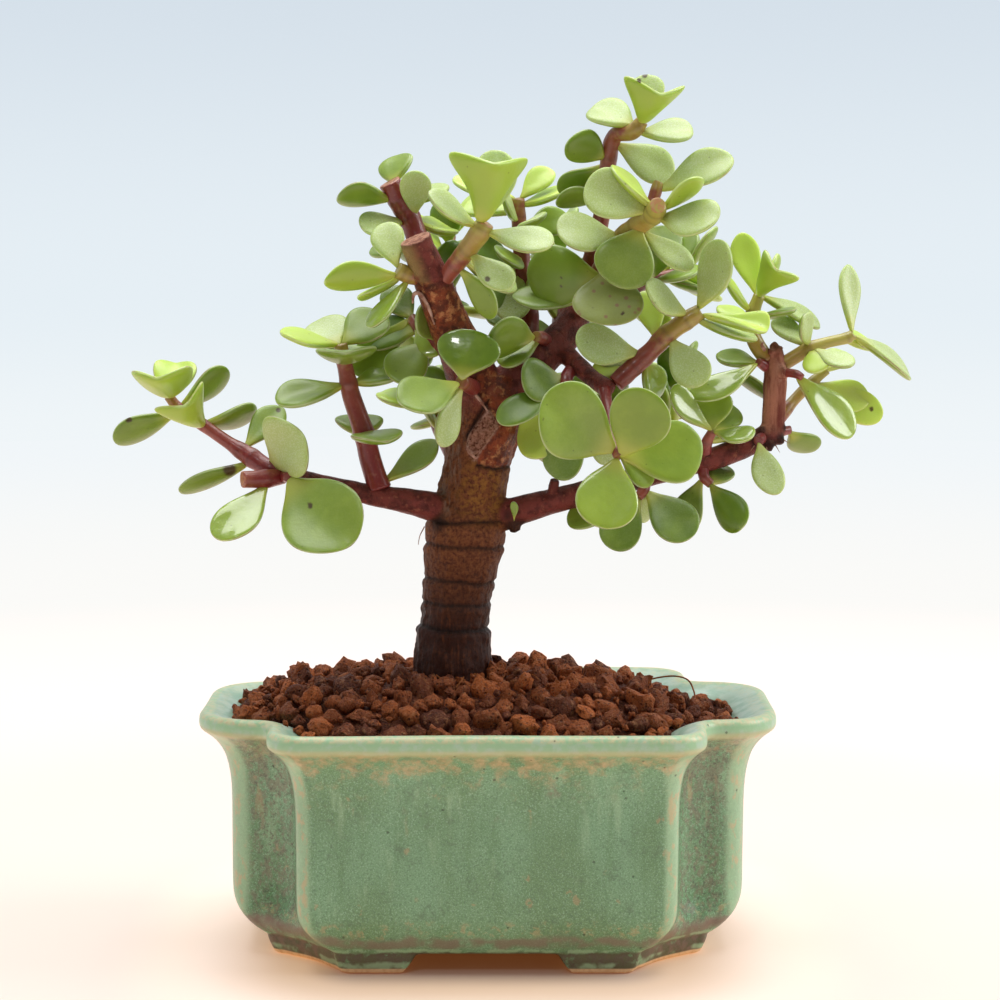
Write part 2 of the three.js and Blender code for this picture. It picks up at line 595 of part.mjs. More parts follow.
// Soil that fills the pot, heaped in a mound of granules round the trunk.
function makeSoil(roots, screens) {
  const bottom = FOOT_HEIGHT + FLOOR + GAP;
  const inset = WALL + GAP;
  const bed = loft([
    [bottom, -inset - 4, -inset - 4], [bottom + 3, -inset, -inset], [SOIL_EDGE - 4, -inset, -inset],
    [SOIL_EDGE, -inset + 0.6, -inset + 0.6],
  ]);
  const mound = moulded(MOUND_SIDES, MOUND_RINGS.length - 1, (ring, column) => {
    const share = MOUND_RINGS[ring];
    const reach = column === null ? 0 : share;
    const angle = ((column ?? 0) / MOUND_SIDES) * 2 * Math.PI;
    const x = TRUNK_AT * (1 - share) + reach * (HALF_LENGTH - 12) * Math.cos(angle);
    const y = reach * (HALF_DEPTH - 9) * Math.sin(angle);
    return new THREE.Vector3(x, y, ring === 0 ? SOIL_EDGE - 3 : soilHeight(x, y) - 1);
  });
  const cavity = loft([[SOIL_EDGE - 8, -inset, -inset], [SOIL_EDGE + 14, -inset + 1.2, -inset + 1.2]]);
  const above = join([solid(mound), ...makeGranules()]).intersect(cavity);
  return withoutPockets(join([bed, above]).subtract(roots).subtract(screens));
}

// ---- Wood and leaves -----------------------------------------------------------------------

const sightedLimb = (limbPoints, sides, rowsPerSpan, extra) => limb(
  limbPoints.map(([x, z, depth]) => sighted(x, z, depth)),
  limbPoints.map(([, , , radius]) => radius),
  sides,
  rowsPerSpan,
  extra,
);

function makeWood(extra = 0) {
  return join([sightedLimb(TRUNK, 12, 1, extra), ...LIMBS.map((points) => sightedLimb(points, 8, 1, extra))]);
}

// Rows of a leaf from its tip to its foot: place along it, half width and half thickness.
const LEAF_ROWS = [
  [1, 0, 0], [0.92, 0.66, 0.55], [0.7, 1, 1], [0.4, 0.72, 0.95], [0.12, 0.26, 0.8], [0, 0, 0],
];

// One fleshy leaf, broadest past its middle, from a point on its stem to its tip.
function leaf(foot, tip, width, face, roll = 0) {
  const length = foot.distanceTo(tip);
  const along = tip.clone().sub(foot).normalize();
  const up = new THREE.Vector3(0, -Math.sin(rad(face)), Math.cos(rad(face)));
  up.addScaledVector(along, -up.dot(along)).normalize().applyAxisAngle(along, rad(roll));
  const across = along.clone().cross(up);
  const blade = new THREE.SphereGeometry(1, 4, LEAF_ROWS.length - 1);
  const position = blade.attributes.position;
  for (let i = 0; i < position.count; i += 1) {
    const row = Math.round((Math.acos(position.getY(i)) / Math.PI) * (LEAF_ROWS.length - 1));
    const [at, half, thick] = LEAF_ROWS[row];
    const sideways = Math.sign(Math.round(position.getX(i) * 4));
    const upwards = Math.sign(Math.round(position.getZ(i) * 4));
    const edge = (sideways * half * width) / 2;
    const rise = (upwards * thick * LEAF_THICKNESS) / 2 + Math.abs(edge) * CUP + length * CURL * at * at;
    const reach = at > 0 ? at * length : -LEAF_ROOT;
    const p = foot.clone().addScaledVector(along, reach).addScaledVector(across, edge);
    position.setXYZ(i, ...p.addScaledVector(up, rise).toArray());
  }
  return solid(blade);
}

// The tip of a leaf of the given length, leaning to the front where the length is under 0.
function leafTip(foot, x, z, length) {
  const lean = Math.sign(length);
  let depth = foot.y;
  for (let i = 0; i < 4; i += 1) {
    const flat = sighted(x, z, depth).sub(foot).setY(0).lengthSq();
    depth = foot.y + lean * Math.sqrt(Math.max(length * length - flat, 0));
  }
  return sighted(x, z, depth);
}

// Where a leaf that heads for `tip` leaves its stem: part of the way out from the middle.
function leafFoot(curve, at, radius, tip) {
  const foot = curve.getPoint(at);
  const along = curve.getTangent(at);
  const out = tip.clone().sub(foot);
  return foot.addScaledVector(out.addScaledVector(along, -out.dot(along)).normalize(), radius * ROOT_SHARE);
}

function leafyStem({ stem, radii, leaves }) {
  const points = stem.map(([x, z, depth]) => sighted(x, z, depth));
  const spans = points.length - 1;
  const curve = smoothCurve(points);
  const blades = leaves.map(([node, x, z, length, width, face, roll]) => {
    const tip = leafTip(curve.getPoint(node / spans), x, z, length);
    const foot = leafFoot(curve, node / spans, radii[Math.round(node)], tip);
    return leaf(foot, tip, width, face, roll);
  });
  return join([limb(points, radii, 6, 1), ...blades]);
}

// A shoot at the back: pairs of leaves up the stem, each pair turned across the one before.
function backShoot({ stem, pairs, seed }) {
  const points = stem.map(([x, z, depth]) => sighted(x, z, depth));
  const curve = smoothCurve(points);
  const roll = dice(seed);
  const blades = [];
  for (let pair = 0; pair < pairs; pair += 1) {
    const at = 0.3 + (0.7 * pair) / (pairs - 1);
    const foot = curve.getPoint(at);
    const along = curve.getTangent(at);
    const across = along.clone().cross(new THREE.Vector3(0, 0, 1)).normalize();
    for (const side of [0, 180]) {
      const turn = rad(45 + pair * 90 + side + (roll() - 0.5) * 30);
      const out = across.clone().applyAxisAngle(along, turn);
      const spread = rad(BACK_LEAF.spread - pair * 4 + (roll() - 0.5) * 16);
      const heading = along.clone().multiplyScalar(Math.cos(spread)).addScaledVector(out, Math.sin(spread));
      const size = 0.85 + roll() * 0.3;
      const tip = foot.clone().addScaledVector(heading, BACK_LEAF.length * size);
      const root = leafFoot(curve, at, BACK_RADII[Math.round(at * 3)], tip);
      blades.push(leaf(root, tip, BACK_LEAF.width * size, 0, (roll() - 0.5) * 50));
    }
  }
  return join([limb(points, BACK_RADII, 6, 1), ...blades]);
}

// ---- The whole bonsai ----------------------------------------------------------------------

const bonsai = new THREE.Group();
bonsai.name = 'bonsai';

const wood = makeWood();
const woodRoom = makeWood(GAP);
const screens = [makeScreen(-1), makeScreen(1)];
const screenRoom = [-1, 1].map((side) => {
  const width = SCREEN.side + 2 * GAP;
  const room = new THREE.BoxGeometry(width, width, 2 * (SCREEN.thick + GAP));
  return solid(room.translate(side * DRAIN_AT, 0, FOOT_HEIGHT + FLOOR + GAP));
});

bonsai.add(piece('pot', makePot(), '#6f9077', 0.35));
bonsai.add(piece('drain_screen_left', screens[0], '#26282a', 0.6));
bonsai.add(piece('drain_screen_right', screens[1], '#26282a', 0.6));
bonsai.add(piece('soil', makeSoil(woodRoom, join(screenRoom)), '#6b3a27', 0.95));
bonsai.add(piece('trunk', wood, '#6a4630', 0.8));

for (const [name, stems] of Object.entries(SHOOTS)) {
  const shoot = join(stems.map(leafyStem)).subtract(woodRoom);
  bonsai.add(piece(`shoot_${name}`, shoot, '#8fae4a', 0.45));
}
for (const [name, shoot] of Object.entries(BACK_SHOOTS)) {
  bonsai.add(piece(`shoot_${name}`, backShoot(shoot).subtract(woodRoom), '#86a648', 0.45));
}

const space = new THREE.Box3().setFromObject(bonsai);
const middle = space.getCenter(new THREE.Vector3());
bonsai.position.set(-middle.x, -middle.y, -space.min.z);

export default bonsai;
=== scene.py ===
"""Dressed model of a dwarf jade bonsai (Portulacaria afra) in a glazed pot with indented corners.

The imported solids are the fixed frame. Each class models one sub-assembly in its place in that
frame, dresses it with its finish and lets it stand for the solids that it replaces. The crown is
laid out in millimetres from the middle of the pot's foot, with +Z up and the front towards -Y.
"""

import logging
import math
import random
from collections.abc import Callable, Iterator, Sequence
from contextlib import contextmanager
from dataclasses import dataclass, field
from enum import Enum

import bmesh
import bpy
import numpy as np
from mathutils import Euler, Matrix, Vector, kdtree, noise


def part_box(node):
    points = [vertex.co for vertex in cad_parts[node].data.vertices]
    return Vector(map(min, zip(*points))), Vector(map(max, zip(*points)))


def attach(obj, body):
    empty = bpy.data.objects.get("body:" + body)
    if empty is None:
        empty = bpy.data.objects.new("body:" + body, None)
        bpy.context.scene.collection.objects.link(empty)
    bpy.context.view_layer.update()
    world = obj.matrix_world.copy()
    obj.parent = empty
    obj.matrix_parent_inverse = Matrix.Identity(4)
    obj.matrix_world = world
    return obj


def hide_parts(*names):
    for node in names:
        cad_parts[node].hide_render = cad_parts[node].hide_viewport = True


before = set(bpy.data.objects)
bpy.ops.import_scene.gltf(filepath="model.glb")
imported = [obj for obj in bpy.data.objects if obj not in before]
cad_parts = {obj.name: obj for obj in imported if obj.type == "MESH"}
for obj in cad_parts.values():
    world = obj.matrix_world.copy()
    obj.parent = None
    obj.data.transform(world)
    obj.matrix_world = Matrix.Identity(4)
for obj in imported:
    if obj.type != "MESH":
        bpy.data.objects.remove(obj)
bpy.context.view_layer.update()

LOG = logging.getLogger("bonsai")

MM = 0.001
POT_LOW, POT_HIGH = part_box("pot")
MIDDLE = Vector(((POT_LOW[0] + POT_HIGH[0]) / 2, (POT_LOW[1] + POT_HIGH[1]) / 2, 0.0))
EYE = Vector((3.1, -650.0, 182.0))  # the place from which the front elevation is read
NEAR = -EYE.y

Tint = tuple[float, float, float, float]
Flat = tuple[float, float]
Row = tuple[float, float, float]
Mark = tuple[float, float, float, float]  # a place and a size, or four sizes
Piece = bpy.types.Object
Material = bpy.types.Material
Socket = bpy.types.NodeSocket


def tint(red: int, green: int, blue: int) -> Tint:
    """A paint given as three steps of 0 to 255, as linear light."""
    linear = [((c / 255 + 0.055) / 1.055) ** 2.4 if c > 10 else c / 255 / 12.92 for c in (red, green, blue)]
    return (linear[0], linear[1], linear[2], 1.0)


def placed(point: Vector) -> Vector:
    """A point of the layout, in millimetres, as a place in metres."""
    return MIDDLE + point * MM


def sighted(x: float, z: float, depth: float) -> Vector:
    """The layout point that appears at x, z on the front elevation and stands at a depth."""
    eye_to_point = (depth + NEAR) / NEAR
    return EYE + (Vector((x, 0.0, z)) - EYE) * eye_to_point


def elevation(local: np.ndarray) -> np.ndarray:
    """Where layout places appear on the front elevation, as x and z in each row."""
    share = (local[:, 1] + NEAR) / NEAR
    return np.column_stack([(local[:, 0] - EYE.x) / share + EYE.x, (local[:, 2] - EYE.z) / share + EYE.z])


def smooth(low: float, high: float, value: np.ndarray) -> np.ndarray:
    """Smooth step of an array from 0 at `low` to 1 at `high`."""
    share = np.clip((value - low) / (high - low), 0.0, 1.0)
    return share * share * (3 - 2 * share)


def grain(places: np.ndarray, pitch: float, seed: float = 0.0, octaves: int = 1) -> np.ndarray:
    """Smooth noise between about -1 and 1 at each place.

    Args:
        places: Points, one a row, in millimetres.
        pitch: Size of the largest lumps, in millimetres.
        seed: Offset that picks another pattern.
        octaves: How many finer layers are added, each half the size and strength.

    Returns:
        One value for each place.
    """
    total = np.zeros(len(places))
    for octave in range(octaves):
        spots = places / (pitch / 2**octave) + seed * 7.31 + 17.3 * octave
        whole = np.floor(spots).astype(np.int64)
        part = spots - whole
        ease = part**3 * (part * (part * 6 - 15) + 10)
        for corner in range(8):
            step = np.array([corner & 1, corner >> 1 & 1, corner >> 2])
            node = whole + step
            key = (node[:, 0] * 73856093 ^ node[:, 1] * 19349663 ^ node[:, 2] * 83492791) & 0x7FFFFFFF
            key = (key * 48271 + 12345) & 0x7FFFFFFF
            away = part - step
            slope = np.column_stack([(key >> shift & 1023) / 511.5 - 1 for shift in (0, 9, 18)])
            weight = np.prod(np.where(step == 1, ease, 1 - ease), axis=1)
            total += weight * np.sum(slope * away, axis=1) * 1.6 / 2**octave
    return total


def beside(places: np.ndarray, line: Sequence[Flat]) -> np.ndarray:
    """Distance of flat places from a line through points.

    Args:
        places: Flat places, one a row.
        line: Points of the line.

    Returns:
        One distance for each place.
    """
    nearest = np.full(len(places), 1e9)
    for (ax, az), (bx, bz) in zip(line, line[1:]):
        edge = np.array([bx - ax, bz - az])
        span = places - np.array([ax, az])
        share = np.clip(span @ edge / (edge @ edge), 0, 1)
        nearest = np.minimum(nearest, np.linalg.norm(span - share[:, None] * edge, axis=1))
    return nearest


def outside(places: np.ndarray, corners: Sequence[Flat]) -> np.ndarray:
    """Signed distance of flat places from a polygon, negative inside it.

    Args:
        places: Flat places, one a row.
        corners: Corners of the polygon, in order.

    Returns:
        One distance for each place.
    """
    line = [*corners, corners[0]]
    nearest = beside(places, line)
    inside = np.zeros(len(places), bool)
    for (ax, az), (bx, bz) in zip(line, line[1:]):
        crosses = (az > places[:, 1]) != (bz > places[:, 1])
        slope = np.where(bz == az, 1e-9, bz - az)
        inside ^= crosses & (places[:, 0] < (bx - ax) * (places[:, 1] - az) / slope + ax)
    return np.where(inside, -nearest, nearest)


class Bench:
    """The modelling bench: Blender's own operators, each on pieces that are picked by name."""

    @staticmethod
    def take(*pieces: Piece) -> None:
        """Selects these pieces alone and makes the first one active."""
        bpy.ops.object.select_all(action="DESELECT")
        for piece in pieces:
            piece.select_set(True)
        bpy.context.view_layer.objects.active = pieces[0]

    @staticmethod
    def fresh() -> Piece:
        """The piece that an operator has just added."""
        return bpy.context.active_object

    @staticmethod
    @contextmanager
    def editing(piece: Piece, kind: str = "VERT") -> Iterator[None]:
        """Opens a piece in edit mode with nothing selected, and closes it afterwards."""
        Bench.take(piece)
        bpy.ops.object.mode_set(mode="EDIT")
        bpy.ops.mesh.select_mode(type=kind)
        bpy.ops.mesh.select_all(action="DESELECT")
        yield
        bpy.ops.object.mode_set(mode="OBJECT")

    @staticmethod
    def choose(piece: Piece, wanted: Callable[[Vector], bool], kind: str = "VERT") -> int:
        """Selects what passes a test on a piece that is open in edit mode.

        Args:
            piece: The piece.
            wanted: Test of a vertex's place or a face's middle.
            kind: VERT or FACE.

        Returns:
            How many were selected.
        """
        bpy.ops.mesh.select_all(action="DESELECT")
        shape = bmesh.from_edit_mesh(piece.data)
        if kind == "VERT":
            picked = [v for v in shape.verts if wanted(v.co)]
        else:
            picked = [f for f in shape.faces if wanted(f.calc_center_median())]
        for element in picked:
            element.select_set(True)
        shape.select_flush_mode()
        bmesh.update_edit_mesh(piece.data)
        return len(picked)

    @staticmethod
    def modify(piece: Piece, kind: str, **settings: object) -> None:
        """Adds a modifier to a piece and applies it.

        Args:
            piece: The piece.
            kind: Blender's name of the modifier.
            settings: Its settings.
        """
        Bench.take(piece)
        bpy.ops.object.modifier_add(type=kind)
        modifier = piece.modifiers[-1]
        for name, value in settings.items():
            setattr(modifier, name, value)
        bpy.ops.object.modifier_apply(modifier=modifier.name)

    @staticmethod
    def joined(pieces: Sequence[Piece]) -> Piece:
        """Joins pieces into the first of them."""
        Bench.take(*pieces)
        if len(pieces) > 1:
            bpy.ops.object.join()
        return pieces[0]

    @staticmethod
    def closed(piece: Piece, merge: float = 1e-6) -> None:
        """Merges doubled vertices and turns every face outwards."""
        with Bench.editing(piece):
            bpy.ops.mesh.select_all(action="SELECT")
            bpy.ops.mesh.remove_doubles(threshold=merge)
            bpy.ops.mesh.normals_make_consistent(inside=False)

    @staticmethod
    def rest(piece: Piece, name: str, angle: float = 180.0) -> Piece:
        """Names a finished piece, puts its place into its mesh and smooths its shading.

        Args:
            piece: The piece.
            name: Its name.
            angle: Edges sharper than this many degrees stay sharp.

        Returns:
            The piece.
        """
        Bench.take(piece)
        bpy.ops.object.transform_apply(location=True, rotation=True, scale=True)
        if angle >= 180:
            bpy.ops.object.shade_smooth()
        else:
            bpy.ops.object.shade_smooth_by_angle(angle=math.radians(angle))
        piece.name = piece.data.name = name
        return piece

    @staticmethod
    def places(piece: Piece) -> np.ndarray:
        """Vertex places of a piece, one a row, in metres."""
        flat = np.empty(len(piece.data.vertices) * 3)
        piece.data.vertices.foreach_get("co", flat)
        return flat.reshape(-1, 3)

    @staticmethod
    def layout(piece: Piece) -> np.ndarray:
        """Vertex places of a piece, one a row, in layout millimetres."""
        return (Bench.places(piece) - np.array(MIDDLE)) / MM

    @staticmethod
    def columns(places: np.ndarray, count: int) -> np.ndarray:
        """Which of `count` columns round the middle each place stands in, from the first on."""
        turn = np.arctan2(places[:, 1], places[:, 0]) - math.atan2(places[0][1], places[0][0])
        return np.rint(turn / (2 * math.pi) * count).astype(int) % count

    @staticmethod
    def normals(piece: Piece) -> np.ndarray:
        """Vertex normals of a piece, one a row."""
        flat = np.empty(len(piece.data.vertices) * 3)
        piece.data.vertex_normals.foreach_get("vector", flat)
        return flat.reshape(-1, 3)

    @staticmethod
    def move(piece: Piece, places: np.ndarray) -> None:
        """Puts the vertices of a piece at new places."""
        piece.data.vertices.foreach_set("co", np.ascontiguousarray(places, dtype=np.float32).ravel())
        piece.data.update()

    @staticmethod
    def paint(piece: Piece, **layers: np.ndarray | float) -> None:
        """Writes masks on the vertices of a piece, each as an attribute of its name."""
        for name, values in layers.items():
            layer = piece.data.attributes.get(name) or piece.data.attributes.new(name, "FLOAT", "POINT")
            layer.data.foreach_set(
                "value", np.broadcast_to(values, len(piece.data.vertices)).astype(np.float32)
            )

    @staticmethod
    def dress(piece: Piece, *materials: Material) -> None:
        """Gives a piece these materials, in place of any that it has."""
        piece.data.materials.clear()
        for material in materials:
            piece.data.materials.append(material)

    @staticmethod
    def copied(piece: Piece, places: np.ndarray) -> Piece:
        """A copy of a piece with a mesh of its own, its vertices at new places.

        Args:
            piece: The pattern.
            places: Vertex places, one a row, in metres.

        Returns:
            The copy.
        """
        twin = bpy.data.objects.new(piece.name, piece.data.copy())
        bpy.context.collection.objects.link(twin)
        Bench.move(twin, places)
        return twin


@dataclass(frozen=True)
class Route:
    """A smooth line through layout points, with a radius at each of them."""

    points: tuple[Vector, ...]
    radii: tuple[float, ...]

    @property
    def spans(self) -> int:
        """How many stretches the line has."""
        return len(self.points) - 1

    def at(self, place: float) -> Vector:
        """The point at a place that counts stretches from the foot.

        Args:
            place: Whole stretches and the share of the next one.

        Returns:
            A layout point.
        """
        place = min(max(place, 0.0), self.spans)
        i = min(int(place), self.spans - 1)
        t = place - i
        b, c = self.points[i], self.points[i + 1]
        a = self.points[i - 1] if i > 0 else 2 * b - c
        d = self.points[i + 2] if i + 2 <= self.spans else 2 * c - b
        into, out = (c - a) / 2, (d - b) / 2
        return b + into * t + (3 * (c - b) - 2 * into - out) * t**2 + (2 * (b - c) + into + out) * t**3

    def heading(self, place: float) -> Vector:
        """The direction of the line at a place."""
        return (self.at(place + 0.01) - self.at(place - 0.01)).normalized()

    def radius(self, place: float) -> float:
        """The radius at a place, passing smoothly from one point to the next."""
        i = min(int(place), self.spans - 1)
        t = min(max(place - i, 0.0), 1.0)
        t = t * t * (3 - 2 * t) * 0.5 + t * 0.5
        return self.radii[i] + (self.radii[i + 1] - self.radii[i]) * t

    def steps(self, pitch: float) -> list[float]:
        """Places along the line that stand about `pitch` millimetres apart."""
        marks: list[float] = []
        for i in range(self.spans):
            count = max(1, round((self.points[i + 1] - self.points[i]).length / pitch))
            marks += [i + k / count for k in range(count)]
        return [*marks, float(self.spans)]

    def tube(
        self, name: str, pitch: float, sides: int, swell: Callable[[float], float] | None = None
    ) -> Piece:
        """A round closed rod along the line.

        Args:
            name: Name of the piece.
            pitch: Distance between its rings, in millimetres.
            sides: Half the number of sides, less two.
            swell: Factor on the radius at a place.

        Returns:
            The rod as a mesh.
        """
        bpy.ops.curve.primitive_bezier_curve_add(radius=MM)
        rod = Bench.fresh()
        rod.matrix_world = Matrix.Identity(4)
        rod.data.splines.clear()
        marks = self.steps(pitch)
        line = rod.data.splines.new("POLY")
        line.points.add(len(marks) - 1)
        for point, mark in zip(line.points, marks):
            point.co = (*placed(self.at(mark)), 1.0)
            point.radius = self.radius(mark) * (swell(mark) if swell else 1.0)
        rod.data.dimensions = "3D"
        rod.data.bevel_depth = MM
        rod.data.bevel_resolution = sides
        rod.data.use_fill_caps = True
        Bench.take(rod)
        bpy.ops.object.convert(target="MESH")
        rod = Bench.fresh()
        rod.name = name
        Bench.closed(rod, 1e-7)
        return rod


def strands(
    name: str, lines: Sequence[tuple[Sequence[Row], Sequence[float]]], pitch: float, sides: int,
    finish: Material,
) -> list[Piece]:
    """Thin rods, each along a line through points of the front elevation, in one finish.

    Args:
        name: Name of the rods, before their number.
        lines: Points and radii of each line.
        pitch: Distance between the rings of a rod, in millimetres.
        sides: As for a route's tube.
        finish: What the rods are dressed in.

    Returns:
        The rods.
    """
    made = []
    for number, (points, radii) in enumerate(lines):
        route = Route(tuple(sighted(*p) for p in points), tuple(radii))
        made.append(route.tube(f"{name}_{number}", pitch, sides))
        Bench.dress(made[-1], finish)
    return made


# ---- The crown's layout --------------------------------------------------------------------


class Look(Enum):
    """How a leaf's skin looks: how clear a green, partly painted light shining through it; how dark a green,
    as painted shade; and how much painted sheen it has.
    """

    PLAIN = (0.18, 0.25, 0.08, 0.0)
    # lit: painted sheen for a leaf that faces the light
    PALE = (0.40, 0.0, 1.0, 0.0)
    # fresh: clear yellow-green, partly painted light shining through the leaf
    FRESH = (1.0, 0.0, 0.2, 0.0)
    # painted shade for a leaf that lies in shade
    DEEP = (0.05, 0.8, 0.10, 0.0)
    WET = (0.45, 0.25, 0.15, 0.0)
    GLOSSY = (0.08, 0.7, 0.0, 0.0)
    SCABBY = (0.1, 0.25, 0.2, 1.0)

    @property
    def is_wet(self) -> bool:
        """Whether the leaf carries a film of water."""
        return self in (Look.WET, Look.GLOSSY)


PLAIN, PALE, FRESH, DEEP, WET, GLOSSY, SCABBY = Look


@dataclass(frozen=True)
class Leaf:
    """One leaf: the stem point it grows from, its tip on the front elevation and its shape.

    A length under 0 leans the tip to the front. Face 0 looks up, 90 to the front and -90 to
    the back, and roll turns the blade further about its own middle line.
    """

    node: float
    x: float
    z: float
    length: float
    width: float
    face: float
    roll: float = 0
    look: Look = Look.PLAIN
    fold: float | None = None  # rise of the two halves from the middle line; by chance if None
    curl: float = 0.0  # how far the tip bends up, as a share of the length
    blunt: float = 0.0  # least breadth of its foot, 0 to 1


@dataclass(frozen=True)
class Stem:
    """One stem of a shoot: its points (x, z, depth), the radius at each, and its leaves."""

    points: list[Row]
    radii: list[float]
    leaves: list[Leaf]
    young: float = 0.0  # 1 where the stem is still green
    cut: bool = False  # whether its end is a cut

    @property
    def route(self) -> Route:
        """The stem's middle line."""
        return Route(tuple(sighted(*p) for p in self.points), tuple(self.radii))
